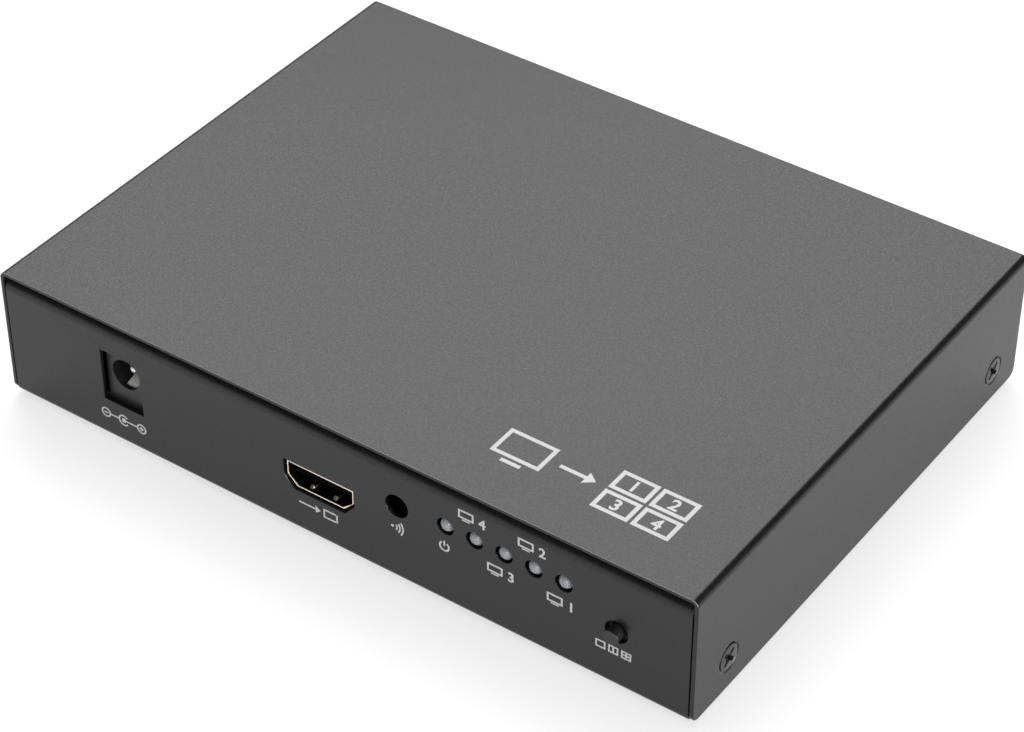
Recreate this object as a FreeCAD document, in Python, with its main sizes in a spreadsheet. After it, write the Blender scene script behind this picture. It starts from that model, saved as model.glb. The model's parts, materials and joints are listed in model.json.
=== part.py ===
"""Video wall controller: one picture input, four outputs, in a bent steel case.

Millimetres. +X is to the right as the front panel is seen, +Y is towards the
back, +Z is up. The origin is under the middle of the object, where the feet rest.
"""
import FreeCAD, Part
import math
import os
from types import SimpleNamespace

import Sketcher

Vector = FreeCAD.Vector
Rotation = FreeCAD.Rotation

# Driving sizes, each written once. Heights of connectors are above the board.
SIZES = {
    # Case
    "case_width": 150.0,
    "case_depth": 111.4,
    "case_height": 27.6,
    "sheet": 0.8,
    "cover_bend": 1.4,
    "cover_corner": 1.8,
    "cover_gap": 0.2,
    "tray_bend": 1.3,
    "tray_top_bend": 3.0,
    "lip_length": 6.0,
    "flange_height": 10.0,
    "flange_relief": 3.0,
    "foot_reach": 1.2,
    "foot_radius": 4.5,
    "foot_taper": 0.6,
    "foot_inset_x": 12.0,
    "foot_inset_y": 11.0,
    # Cover screws, M3 countersunk
    "cover_screw_height": 6.9,
    "cover_screw_front": 10.7,
    "cover_screw_back": 9.3,
    "cover_screw_head_radius": 2.75,
    "cover_screw_length": 4.5,
    "screw_radius": 1.5,
    "thread_gap": 0.04,
    "head_gap": 0.3,
    "head_land": 0.27,
    "collar_radius": 2.6,
    "collar_reach": 1.6,
    "cross_span": 3.5,
    "cross_width": 0.55,
    "cross_pit_radius": 0.85,
    "cross_pit_end": 0.3,
    "cross_depth": 0.95,
    # Board and what carries it
    "standoff_height": 6.6,
    "standoff_radius": 2.9,
    "board_thickness": 1.6,
    "board_side_gap": 3.0,
    "board_end_gap": 0.8,
    "board_hole_inset_x": 4.5,
    "board_hole_inset_y": 17.0,
    "board_hole_gap": 0.15,
    "board_screw_length": 5.0,
    "board_screw_head_radius": 2.7,
    "board_screw_head_height": 1.8,
    # Power jack
    "jack_across": -47.2,
    "jack_width": 9.0,
    "jack_height": 11.05,
    "jack_depth": 14.2,
    "jack_collar_depth": 3.2,
    "jack_collar_step": 0.5,
    "jack_recess": 1.3,
    "jack_cutout_gap": 0.15,
    "jack_bore_height": 6.5,
    "jack_bore_radius": 3.15,
    "jack_bore_depth": 10.5,
    "jack_pin_radius": 1.05,
    "jack_pin_recess": 1.6,
    "jack_root_radius": 1.35,
    "jack_tail_width": 2.4,
    "jack_tail_thickness": 0.5,
    "jack_slot_front": 1.0,
    "jack_slot_width": 3.0,
    "jack_slot_height": 4.5,
    "jack_spring_width": 2.6,
    "jack_spring_thickness": 0.3,
    "jack_spring_rise": 0.55,
    "jack_spring_arch": 1.1,
    "jack_spring_crest": 3.7,
    "jack_spring_front": 1.3,
    "jack_spring_back": 12.4,
    "jack_leaf_length": 3.4,
    "jack_leaf_height": 7.0,
    # Picture sockets
    "input_across": -2.45,
    "output_pitch": 28.0,
    "socket_width": 14.6,
    "socket_height": 5.15,
    "socket_wall": 0.3,
    "socket_side": 3.05,
    "socket_inset": 2.1,
    "socket_lift": 0.75,
    "socket_depth": 10.6,
    "socket_recess": 0.45,
    "socket_cutout_gap": 0.45,
    "socket_leg_length": 1.8,
    "socket_leg_back": 4.4,
    "socket_leg_overlap": 0.4,
    "latch_length": 4.0,
    "latch_width": 0.8,
    "latch_rise": 0.5,
    "latch_sink": 0.1,
    "latch_crest": 0.6,
    "latch_offset": 2.55,
    "latch_setback": 0.6,
    "insulator_gap": 0.06,
    "insulator_front": 8.2,
    "insulator_back": 12.6,
    "tongue_width": 10.9,
    "tongue_thickness": 1.5,
    "tongue_lift": 0.35,
    "tongue_setback": 1.3,
    "contact_pitch": 1.0,
    "contact_width": 0.34,
    "contact_thickness": 0.14,
    "contact_setback": 0.5,
    "contact_foot": 1.3,
    # Remote receiver, lights and mode button on the front panel
    "sensor_across": 14.6,
    "sensor_height": 7.9,
    "sensor_hole_radius": 2.4,
    "sensor_lens_gap": 0.35,
    "sensor_lens_sink": 2.4,
    "sensor_width": 6.0,
    "sensor_tall": 6.6,
    "sensor_thickness": 2.8,
    "sensor_setback": 2.9,
    "lead_width": 0.5,
    "lead_pitch": 2.54,
    "light_across": 24.85,
    "light_pitch": 6.05,
    "light_height": 8.65,
    "light_radius": 1.5,
    "light_hole_gap": 0.25,
    "light_reach": 0.25,
    "light_length": 5.3,
    "light_flange_radius": 1.9,
    "light_flange_length": 1.0,
    "light_lead_run": 1.6,
    "button_across": 59.6,
    "button_height": 3.55,
    "button_reach": 1.7,
    "button_radius": 1.45,
    "button_hole_gap": 0.85,
    "button_flange_radius": 2.35,
    "button_flange_thickness": 0.6,
    "button_nib_radius": 0.8,
    "button_nib_length": 0.45,
    "button_travel": 0.3,
    "button_fit": 0.06,
    "switch_setback": 0.5,
    "switch_width": 6.4,
    "switch_tall": 7.0,
    "switch_depth": 4.0,
    "switch_plate": 0.3,
    "switch_plate_bore_gap": 0.2,
    "switch_leg_width": 0.8,
    "dome_radius": 2.3,
    "dome_reserve": 0.2,
    "dome_thickness": 0.12,
    "terminal_spread": 4.4,
    # Parts on the board
    "chip_side": 23.0,
    "chip_thickness": 1.9,
    "chip_across": -22.0,
    "chip_back": -2.0,
    "pad_side": 21.0,
    "pad_thickness": 0.5,
    "sink_side": 28.0,
    "sink_base": 1.6,
    "sink_height": 8.0,
    "fin_thickness": 1.1,
    "memory_length": 13.3,
    "memory_width": 7.5,
    "memory_thickness": 1.1,
    "memory_across": 4.0,
    "memory_pitch": 11.0,
    "driver_side": 9.0,
    "driver_thickness": 0.95,
    "driver_inset": 26.0,
    "receiver_side": 12.0,
    "receiver_thickness": 1.3,
    "receiver_inset": 24.0,
    "controller_side": 10.0,
    "controller_thickness": 1.5,
    "controller_across": 42.0,
    "controller_back": -14.0,
    "chip_lead_reach": 1.0,
    "chip_lead_thickness": 0.2,
    "crystal_length": 5.0,
    "crystal_width": 3.2,
    "crystal_thickness": 1.1,
    "crystal_gap": 3.0,
    "inductor_side": 7.0,
    "inductor_height": 3.6,
    "inductor_across": -54.0,
    "inductor_back": -10.0,
    "inductor_pitch": 13.0,
    "capacitor_radius": 3.15,
    "capacitor_height": 7.6,
    "capacitor_base": 0.9,
    "capacitor_across": -62.0,
    "capacitor_back": -22.0,
    "capacitor_pitch": 11.0,
    "regulator_length": 5.0,
    "regulator_width": 4.0,
    "regulator_thickness": 1.6,
    "regulator_across": -44.0,
    "regulator_back": -12.0,
}

# Counts
FIN_COUNT = 8
LIGHT_NAMES = ["power_light", "output_4_light", "output_3_light", "output_2_light", "output_1_light"]
UPPER_CONTACTS = 10
LOWER_CONTACTS = 9
OUTPUT_COUNT = 4
MIDDLE_OUTPUT = (OUTPUT_COUNT + 1) / 2

# Where the two members of a pair are, in steps from their middle
PAIR = (("left", -0.5), ("right", 0.5))

EIGHTH_TURN = 45
QUARTER_TURN = 90
HALF_TURN = 180
DIAGONAL = math.sqrt(0.5)
CLOSE = 1e-4

doc = FreeCAD.newDocument("VideoWallController")
sheet = doc.addObject("Spreadsheet::Sheet", "Sizes")
for row, (word, number) in enumerate(SIZES.items(), start=1):
    sheet.set(f"A{row}", word)
    sheet.set(f"B{row}", str(number))
    sheet.setAlias(f"B{row}", word)
doc.recompute()


class Length:
    """A size in millimetres together with the sheet formula that gives it."""

    def __init__(self, value, formula):
        self.value = value
        self.formula = formula

    def __add__(self, other):
        other = as_length(other)
        return Length(self.value + other.value, f"({self.formula} + {other.formula})")

    def __sub__(self, other):
        other = as_length(other)
        return Length(self.value - other.value, f"({self.formula} - {other.formula})")

    def __mul__(self, factor):
        return Length(self.value * factor, f"({self.formula} * {factor})")

    def __truediv__(self, divisor):
        return Length(self.value / divisor, f"({self.formula} / {divisor})")

    def __neg__(self):
        return Length(-self.value, f"(0 - {self.formula})")


def as_length(size):
    """Takes a bare number as a length that follows no cell of the sheet."""
    if isinstance(size, Length):
        return size
    return Length(float(size), f"({size})")


size = SimpleNamespace(**{word: Length(number, f"Sizes.{word}") for word, number in SIZES.items()})
ZERO = as_length(0)


def bind(thing, prop, length):
    """Ties one property of a document object to its formula."""
    thing.setExpression(prop, as_length(length).formula)


def place(thing, x, y, z, rotation=None):
    """Puts a document object at x, y, z, all three bound to the sheet."""
    thing.Placement = FreeCAD.Placement(Vector(0, 0, 0), rotation or Rotation())
    for axis, length in zip("xyz", (x, y, z)):
        bind(thing, f"Placement.Base.{axis}", length)
    return thing


ALONG_X = Rotation(Vector(0, 1, 0), QUARTER_TURN)
ALONG_MINUS_X = Rotation(Vector(0, 1, 0), -QUARTER_TURN)
ALONG_Y = Rotation(Vector(1, 0, 0), -QUARTER_TURN)
ALONG_MINUS_Y = Rotation(Vector(1, 0, 0), QUARTER_TURN)
ABOUT_FACE = Rotation(Vector(0, 0, 1), HALF_TURN)
ASLANT_X = Rotation(Vector(1, 0, 0), EIGHTH_TURN)
ASLANT_Z = Rotation(Vector(0, 0, 1), EIGHTH_TURN)


def block(label, low, dims, rotation=None):
    """A box from its low corner and its three sides."""
    box = doc.addObject("Part::Box", label)
    for prop, length in zip(("Length", "Width", "Height"), dims):
        bind(box, prop, length)
    return place(box, *low, rotation)


def centred_block(label, across, back, low, dims):
    """A box whose middle is at across, back and whose underside is at low."""
    return block(label, (across - as_length(dims[0]) / 2, back - as_length(dims[1]) / 2, low), dims)


def drum(label, start, radius, length, rotation=None):
    """A cylinder from the middle of one end, along Z unless it is turned."""
    cylinder = doc.addObject("Part::Cylinder", label)
    bind(cylinder, "Radius", radius)
    bind(cylinder, "Height", length)
    return place(cylinder, *start, rotation)


def taper(label, start, radius, end_radius, length, rotation=None):
    """A cone from the middle of its first end, along Z unless it is turned."""
    cone = doc.addObject("Part::Cone", label)
    bind(cone, "Radius1", radius)
    bind(cone, "Radius2", end_radius)
    bind(cone, "Height", length)
    return place(cone, *start, rotation)


def joined(label, pieces):
    """One solid out of pieces that meet."""
    fusion = doc.addObject("Part::MultiFuse", label)
    fusion.Shapes = pieces
    fusion.Refine = True
    return fusion


def grouped(label, pieces):
    """Separate solids that share one name."""
    group = doc.addObject("Part::Compound", label)
    group.Links = pieces
    return group


def without(label, base, tools):
    """The base with the tools cut out of it."""
    cut = doc.addObject("Part::Cut", label)
    cut.Base = base
    cut.Tool = grouped(label + "_tools", tools)
    return cut


def new_body(label):
    """An empty body with its own origin."""
    return doc.addObject("PartDesign::Body", label)


def origin_part(body, role):
    """One plane or axis of the body's own origin."""
    for feature in body.Origin.OriginFeatures:
        if feature.Role == role:
            return feature
    raise ValueError("no origin feature " + role)


def sketch_on(body, role, label):
    """A sketch on one of the body's origin planes."""
    sketch = body.newObject("Sketcher::SketchObject", label)
    sketch.AttachmentSupport = [(origin_part(body, role), "")]
    sketch.MapMode = "FlatFace"
    return sketch


def fix_point(sketch, element, end, point):
    """Holds one point of a sketch at two bound distances from its origin."""
    for kind, length in zip(("DistanceX", "DistanceY"), point):
        number = sketch.addConstraint(Sketcher.Constraint(kind, element, end, length.value))
        sketch.setExpression(f"Constraints[{number}]", length.formula)


def step_from(corner, towards, radius):
    """The point one radius away from a corner, along a level or upright edge."""
    moved = []
    for here, there in zip(corner, towards):
        if abs(there.value - here.value) < CLOSE:
            moved.append(here)
        elif there.value > here.value:
            moved.append(here + radius)
        else:
            moved.append(here - radius)
    return moved


def outline(sketch, corners):
    """Draws a closed loop of straight edges.

    Each corner is (u, v) or (u, v, radius). Edges that meet in a corner with a
    radius are level and upright, and a quarter bend joins them.
    """
    points = [[as_length(corner[0]), as_length(corner[1])] for corner in corners]
    radii = [as_length(corner[2]) if len(corner) > 2 else None for corner in corners]
    total = len(corners)
    knots = []
    for index, radius in enumerate(radii):
        if radius is None:
            knots.append((points[index], points[index]))
        else:
            entry = step_from(points[index], points[index - 1], radius)
            leave = step_from(points[index], points[(index + 1) % total], radius)
            knots.append((entry, leave))
    ends = []
    for index, radius in enumerate(radii):
        entry, leave = knots[index]
        if radius is not None:
            ends.append(quarter_bend(sketch, points[index], entry, leave, radius))
        following = knots[(index + 1) % total][0]
        start = Vector(leave[0].value, leave[1].value, 0)
        finish = Vector(following[0].value, following[1].value, 0)
        element = sketch.addGeometry(Part.LineSegment(start, finish), False)
        ends.append((element, 1, 2, leave))
    for index, (element, first, last, start) in enumerate(ends):
        following = ends[(index + 1) % len(ends)]
        sketch.addConstraint(Sketcher.Constraint("Coincident", element, last, following[0], following[1]))
        fix_point(sketch, element, first, start)


def quarter_bend(sketch, corner, entry, leave, radius):
    """Draws the arc that rounds one corner, and says which end comes first."""
    centre_u = entry[0].value + leave[0].value - corner[0].value
    centre_v = entry[1].value + leave[1].value - corner[1].value
    start = math.atan2(entry[1].value - centre_v, entry[0].value - centre_u)
    finish = math.atan2(leave[1].value - centre_v, leave[0].value - centre_u)
    turn = (finish - start) % (2 * math.pi)
    left_hand = turn < math.pi
    circle = Part.Circle(Vector(centre_u, centre_v, 0), Vector(0, 0, 1), radius.value)
    angles = (start, finish) if left_hand else (finish, start)
    element = sketch.addGeometry(Part.ArcOfCircle(circle, *angles), False)
    number = sketch.addConstraint(Sketcher.Constraint("Radius", element, radius.value))
    sketch.setExpression(f"Constraints[{number}]", radius.formula)
    if left_hand:
        return element, 1, 2, entry
    return element, 2, 1, entry


def ring(sketch, centre, radius):
    """Draws a circle whose middle and radius are bound to the sheet."""
    centre = [as_length(centre[0]), as_length(centre[1])]
    middle = Vector(centre[0].value, centre[1].value, 0)
    element = sketch.addGeometry(Part.Circle(middle, Vector(0, 0, 1), radius.value), False)
    fix_point(sketch, element, 3, centre)
    number = sketch.addConstraint(Sketcher.Constraint("Radius", element, radius.value))
    sketch.setExpression(f"Constraints[{number}]", radius.formula)


def pad(body, sketch, length, label, midplane=False, backwards=False):
    """Thickens a sketch, both ways from its plane if midplane is set."""
    feature = body.newObject("PartDesign::Pad", label)
    feature.Profile = sketch
    bind(feature, "Length", length)
    if midplane:
        feature.SideType = "Symmetric"
    feature.Reversed = backwards
    body.Tip = feature
    return feature


def pocket_through(body, sketch, label, backwards=False):
    """Cuts a sketch through everything on one side of its plane."""
    doc.recompute()
    before = body.Shape.Volume
    feature = body.newObject("PartDesign::Pocket", label)
    feature.Profile = sketch
    feature.Type = "ThroughAll"
    feature.Reversed = backwards
    body.Tip = feature
    doc.recompute()
    if body.Shape.Volume >= before:
        raise ValueError(label + " cuts nothing")
    return feature


def pattern(body, originals, axis, spacing, count, label):
    """Repeats features along one axis of the body's origin."""
    row = body.newObject("PartDesign::LinearPattern", label)
    row.Originals = originals
    row.Direction = (origin_part(body, axis), [""])
    row.Mode = "Spacing"
    bind(row, "Offset", spacing)
    row.Occurrences = count
    body.Tip = row
    return row


def edges_where(shape, test):
    """Names of the edges of a shape that pass a test."""
    return [f"Edge{number}" for number, edge in enumerate(shape.Edges, start=1) if test(edge)]


# Places that several pieces share
half_width = size.case_width / 2
front_edge = (size.button_reach - size.case_depth) / 2
back_edge = (size.button_reach + size.case_depth) / 2
case_middle = size.button_reach / 2
base = size.foot_reach
case_top = base + size.case_height
front_inner = front_edge + size.sheet
back_inner = back_edge - size.sheet
tray_half = half_width - size.sheet - size.cover_gap
tray_top = case_top - size.sheet - size.cover_gap
floor_top = base + size.sheet
board_bottom = floor_top + size.standoff_height
board_top = board_bottom + size.board_thickness
board_half = tray_half - size.sheet - size.board_side_gap
board_front = front_inner + size.board_end_gap
board_back = back_inner - size.board_end_gap
flange_inner = tray_half - size.sheet
screw_front = front_edge + size.cover_screw_front
screw_back = back_edge - size.cover_screw_back
screw_level = base + size.cover_screw_height
jack_bore_level = board_top + size.jack_bore_height
jack_face = front_edge + size.jack_recess
sensor_level = board_top + size.sensor_height
light_level = board_top + size.light_height
button_level = board_top + size.button_height
socket_bottom = board_top + size.socket_lift
kept = []


def keep(thing):
    """Marks an object as one of the pieces that are written out."""
    kept.append(thing)
    return thing


def socket_profile(low, growth):
    """Corners of a socket's outline in X and Z, wide side up, grown all round."""
    half_top = size.socket_width / 2 + growth
    half_bottom = half_top - size.socket_inset
    bottom = low - growth
    top = low + size.socket_height + growth
    shoulder = top - size.socket_side - growth
    return [
        (-half_bottom, bottom),
        (half_bottom, bottom),
        (half_top, shoulder),
        (half_top, top),
        (-half_top, top),
        (-half_top, shoulder),
    ]


def shifted(corners, across):
    """The same corners, moved sideways."""
    return [(across + u, v) for u, v in corners]


def rectangle(low_u, low_v, high_u, high_v):
    """Four corners of an upright rectangle."""
    return [(low_u, low_v), (high_u, low_v), (high_u, high_v), (low_u, high_v)]


def output_places():
    """Numbers and places of the outputs. Number 1 is behind the last light."""
    for number in range(1, OUTPUT_COUNT + 1):
        yield number, size.output_pitch * (MIDDLE_OUTPUT - number)


def chassis_tray():
    """Floor, front and back panels and screw flanges, bent from one sheet."""
    body = new_body("tray_sheet")
    bend = size.tray_bend
    inner_bend = bend - size.sheet
    top_bend = size.tray_top_bend
    inner_top_bend = top_bend - size.sheet
    lip_front = front_edge + size.lip_length
    lip_back = back_edge - size.lip_length
    under_lip = tray_top - size.sheet
    section = sketch_on(body, "YZ_Plane", "tray_section")
    outline(section, [
        (lip_front, tray_top),
        (front_edge, tray_top, top_bend),
        (front_edge, base, bend),
        (back_edge, base, bend),
        (back_edge, tray_top, top_bend),
        (lip_back, tray_top),
        (lip_back, under_lip),
        (back_inner, under_lip, inner_top_bend),
        (back_inner, floor_top, inner_bend),
        (front_inner, floor_top, inner_bend),
        (front_inner, under_lip, inner_top_bend),
        (lip_front, under_lip),
    ])
    pad(body, section, tray_half * 2, "tray_strip", midplane=True)
    for side, low, high in (("left", -tray_half, -flange_inner), ("right", flange_inner, tray_half)):
        flange = sketch_on(body, "YZ_Plane", side + "_flange_outline")
        bind(flange, "AttachmentOffset.Base.z", low)
        outline(flange, rectangle(
            front_inner + size.flange_relief, base,
            back_inner - size.flange_relief, base + size.flange_height,
        ))
        pad(body, flange, high - low, side + "_flange")
    openings = sketch_on(body, "XZ_Plane", "front_openings")
    jack_half = size.jack_width / 2 + size.jack_cutout_gap
    outline(openings, rectangle(
        size.jack_across - jack_half, board_top - size.jack_cutout_gap,
        size.jack_across + jack_half, board_top + size.jack_height + size.jack_cutout_gap,
    ))
    profile = socket_profile(socket_bottom, size.socket_cutout_gap)
    outline(openings, shifted(profile, size.input_across))
    ring(openings, (size.sensor_across, sensor_level), size.sensor_hole_radius)
    for step in range(len(LIGHT_NAMES)):
        across = size.light_across + size.light_pitch * step
        ring(openings, (across, light_level), size.light_radius + size.light_hole_gap)
    ring(openings, (size.button_across, button_level), size.button_radius + size.button_hole_gap)
    pocket_through(body, openings, "front_cutouts", backwards=True)
    rear = sketch_on(body, "XZ_Plane", "back_openings")
    for number, across in output_places():
        outline(rear, shifted(profile, across))
    pocket_through(body, rear, "back_cutouts")
    collars = []
    cuts = []
    for tag, x, y, outward in screw_places():
        inward = ALONG_MINUS_X if outward > 0 else ALONG_X
        start = (flange_inner + size.sheet / 2) * outward
        reach = size.collar_reach + size.sheet / 2
        collars.append(drum(f"collar_{tag}", (start, y, screw_level), size.collar_radius, reach, inward))
        cuts += screw_hole(f"tray_hole_{tag}", y, outward)
    sheet_and_collars = joined("tray_with_collars", [body] + collars)
    return keep(without("chassis_tray", sheet_and_collars, cuts))


def screw_places():
    """Tag, X of the case's outer face, Y and side of each cover screw."""
    for side, outward in (("right", 1), ("left", -1)):
        for end, y in (("front", screw_front), ("back", screw_back)):
            yield f"{side}_{end}", half_width * outward, y, outward


def screw_hole(label, y, outward):
    """The countersink and the threaded bore of one cover screw, as tools."""
    inward = ALONG_MINUS_X if outward > 0 else ALONG_X
    mouth = half_width * outward
    radius = size.cover_screw_head_radius + size.head_gap
    bore = size.screw_radius + size.thread_gap
    depth = radius - bore
    length = size.cover_gap + size.sheet * 2 + size.collar_reach + size.sheet
    return [
        taper(label + "_sink", (mouth, y, screw_level), radius, bore, depth, inward),
        drum(label + "_bore", (mouth, y, screw_level), bore, length, inward),
    ]


def top_cover():
    """Top and both sides, bent from one sheet."""
    body = new_body("cover_sheet")
    inner_bend = size.cover_bend - size.sheet
    inner_half = half_width - size.sheet
    under = case_top - size.sheet
    section = sketch_on(body, "XZ_Plane", "cover_section")
    outline(section, [
        (half_width, base),
        (half_width, case_top, size.cover_bend),
        (-half_width, case_top, size.cover_bend),
        (-half_width, base),
        (-inner_half, base),
        (-inner_half, under, inner_bend),
        (inner_half, under, inner_bend),
        (inner_half, base),
    ])
    strip = pad(body, section, size.case_depth, "cover_strip", midplane=True)
    doc.recompute()
    thickness = size.sheet.value
    low = base.value

    def bottom_corner(edge):
        first, last = (vertex.Point for vertex in edge.Vertexes)
        across = abs(last.x - first.x)
        return abs(across - thickness) < CLOSE and first.z < low + CLOSE and last.z < low + CLOSE

    rounding = body.newObject("PartDesign::Fillet", "cover_corners")
    rounding.Base = (strip, edges_where(strip.Shape, bottom_corner))
    bind(rounding, "Radius", size.cover_corner)
    body.Tip = rounding
    place(body, ZERO, case_middle, ZERO)
    cuts = []
    for tag, x, y, outward in screw_places():
        cuts += screw_hole(f"cover_hole_{tag}", y, outward)
    return keep(without("top_cover", body, cuts))


def cross_recess(label, middle, bottom, outward_axis):
    """Two slots crossed aslant, for a driver, cut into a screw head along X or Z."""
    half_span = size.cross_span / 2
    half_slot = size.cross_width / 2
    slots = []
    for number, (u, v) in enumerate(((half_span, half_slot), (half_slot, half_span)), start=1):
        first = middle[0] - (u - v) * DIAGONAL
        second = middle[1] - (u + v) * DIAGONAL
        if outward_axis == "x":
            slot = block(f"{label}_slot_{number}", (bottom, first, second),
                         (size.cross_depth, u * 2, v * 2), ASLANT_X)
        else:
            slot = block(f"{label}_slot_{number}", (first, second, bottom),
                         (u * 2, v * 2, size.cross_depth), ASLANT_Z)
        slots.append(slot)
    return slots


def cover_screws():
    """Four countersunk cross-head screws that hold the cover on the tray."""
    screws = []
    head = size.cover_screw_head_radius
    for tag, x, y, outward in screw_places():
        inward = ALONG_MINUS_X if outward > 0 else ALONG_X
        land = drum(f"land_{tag}", (x, y, screw_level), head, size.head_land, inward)
        cone = taper(f"head_{tag}", (x - size.head_land * outward, y, screw_level), head,
                     size.screw_radius, head - size.screw_radius, inward)
        shank = drum(f"shank_{tag}", (x, y, screw_level), size.screw_radius,
                     size.cover_screw_length, inward)
        blank = joined(f"blank_{tag}", [land, cone, shank])
        bottom = x - size.cross_depth if outward > 0 else x
        slots = cross_recess(f"cross_{tag}", (y, screw_level), bottom, "x")
        pit = taper(f"pit_{tag}", (x, y, screw_level), size.cross_pit_radius, size.cross_pit_end,
                    size.cross_depth, inward)
        screws.append(without(f"cover_screw_{tag}", blank, [*slots, pit]))
    return keep(grouped("cover_screws", screws))


def feet():
    """Four stick-on rubber feet, slightly tapered, near the corners."""
    for side, outward in (("left", -1), ("right", 1)):
        across = (half_width - size.foot_inset_x) * outward
        for end, back in (("front", front_edge + size.foot_inset_y), ("back", back_edge - size.foot_inset_y)):
            keep(taper(f"foot_{end}_{side}", (across, back, ZERO), size.foot_radius - size.foot_taper,
                       size.foot_radius, size.foot_reach))


def board_hole_places():
    """Tag, X and Y of each of the board's screws."""
    for side, outward in (("left", -1), ("right", 1)):
        across = (board_half - size.board_hole_inset_x) * outward
        yield f"front_{side}", across, board_front + size.board_hole_inset_y
        yield f"back_{side}", across, board_back - size.board_hole_inset_y


def board_mounting():
    """Threaded posts on the floor and the pan-head screws in them."""
    posts = []
    screws = []
    bore = size.screw_radius + size.thread_gap
    for tag, x, y in board_hole_places():
        post = drum(f"post_{tag}", (x, y, floor_top), size.standoff_radius, size.standoff_height)
        hole = drum(f"post_bore_{tag}", (x, y, floor_top), bore, size.standoff_height)
        posts.append(without(f"standoff_{tag}", post, [hole]))
        head = drum(f"pan_{tag}", (x, y, board_top), size.board_screw_head_radius,
                    size.board_screw_head_height)
        shank = drum(f"pan_shank_{tag}", (x, y, board_top - size.board_screw_length),
                     size.screw_radius, size.board_screw_length)
        blank = joined(f"pan_blank_{tag}", [head, shank])
        bottom = board_top + size.board_screw_head_height - size.cross_depth
        slots = cross_recess(f"pan_cross_{tag}", (x, y), bottom, "z")
        pit = taper(f"pan_pit_{tag}", (x, y, bottom), size.cross_pit_end, size.cross_pit_radius,
                    size.cross_depth)
        screws.append(without(f"board_screw_{tag}", blank, [*slots, pit]))
    keep(grouped("board_standoffs", posts))
    keep(grouped("board_screws", screws))


def main_board():
    """The circuit board, with a clearance hole for each screw."""
    body = new_body("main_board")
    plan = sketch_on(body, "XY_Plane", "board_plan")
    outline(plan, rectangle(-board_half, board_front, board_half, board_back))
    for tag, x, y in board_hole_places():
        ring(plan, (x, y), size.screw_radius + size.board_hole_gap)
    pad(body, plan, size.board_thickness, "board_sheet")
    return keep(place(body, ZERO, ZERO, board_bottom))


def power_jack():
    """Barrel jack: moulded housing, centre pin, sleeve spring and switch leaf."""
    x = size.jack_across
    half = size.jack_width / 2
    step = size.jack_collar_step
    collar = block("jack_collar", (x - half, jack_face, board_top),
                   (size.jack_width, size.jack_collar_depth, size.jack_height))
    rear = block("jack_rear", (x - half + step, jack_face, board_top),
                 (size.jack_width - step * 2, size.jack_depth, size.jack_height - step))
    blank = joined("jack_blank", [collar, rear])
    bore = drum("jack_bore", (x, jack_face, jack_bore_level), size.jack_bore_radius,
                size.jack_bore_depth, ALONG_Y)
    pin_hole = drum("jack_pin_hole", (x, jack_face, jack_bore_level), size.jack_root_radius,
                    size.jack_depth, ALONG_Y)
    slot = block("jack_slot", (x - size.jack_slot_width / 2, jack_face + size.jack_slot_front, board_top),
                 (size.jack_slot_width, size.jack_depth - size.jack_slot_front, size.jack_slot_height))
    keep(without("dc_jack_housing", blank, [bore, pin_hole, slot]))

    tip = jack_face + size.jack_pin_recess + size.jack_pin_radius
    back = jack_face + size.jack_depth
    ball = doc.addObject("Part::Sphere", "jack_pin_tip")
    bind(ball, "Radius", size.jack_pin_radius)
    place(ball, x, tip, jack_bore_level)
    bore_end = jack_face + size.jack_bore_depth
    rod = drum("jack_pin_rod", (x, tip, jack_bore_level), size.jack_pin_radius, bore_end - tip, ALONG_Y)
    root = drum("jack_pin_root", (x, bore_end, jack_bore_level), size.jack_root_radius,
                back - bore_end, ALONG_Y)
    tail = block("jack_pin_tail", (x - size.jack_tail_width / 2, back, board_top),
                 (size.jack_tail_width, size.jack_tail_thickness,
                  size.jack_bore_height + size.jack_root_radius))
    keep(joined("dc_jack_pin", [ball, rod, root, tail]))

    spring = new_body("dc_jack_spring")
    side_view = sketch_on(spring, "YZ_Plane", "jack_spring_line")
    thick = size.jack_spring_thickness
    start = size.jack_spring_front
    end = size.jack_spring_back
    crest = size.jack_bore_height - size.jack_bore_radius + size.jack_spring_rise
    rest_level = crest - size.jack_spring_arch
    crest_at = size.jack_spring_crest
    outline(side_view, [
        (start, rest_level),
        (crest_at, crest - thick),
        (end - thick, rest_level),
        (end - thick, ZERO),
        (end, ZERO),
        (end, rest_level + thick),
        (crest_at, crest),
        (start, rest_level + thick),
    ])
    pad(spring, side_view, size.jack_spring_width, "jack_spring_strip", midplane=True)
    keep(place(spring, x, jack_face, board_top))

    leaf_at = jack_face + size.jack_collar_depth + size.jack_spring_thickness * 2
    keep(block("dc_jack_switch_leaf", (x + half - step, leaf_at, board_top),
               (size.jack_spring_thickness, size.jack_leaf_length, size.jack_leaf_height)))


def picture_socket(name, across, outer_face, facing_back):
    """One picture socket: plated shell, moulded tongue and row of contacts.

    It is drawn with its mouth at Y = 0, facing -Y, on a board at Z = 0.
    """
    rotation = ABOUT_FACE if facing_back else None
    mouth = outer_face - size.socket_recess if facing_back else outer_face + size.socket_recess
    shell = socket_shell(name)
    contacts = socket_contacts(name)
    moulding = socket_moulding(name)
    for piece in (shell, contacts, moulding):
        place(piece, across, mouth, board_top, rotation)
    tongue = doc.addObject("Part::Cut", name + "_tongue")
    tongue.Base = moulding
    tongue.Tool = contacts
    keep(shell)
    keep(tongue)
    keep(contacts)


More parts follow.
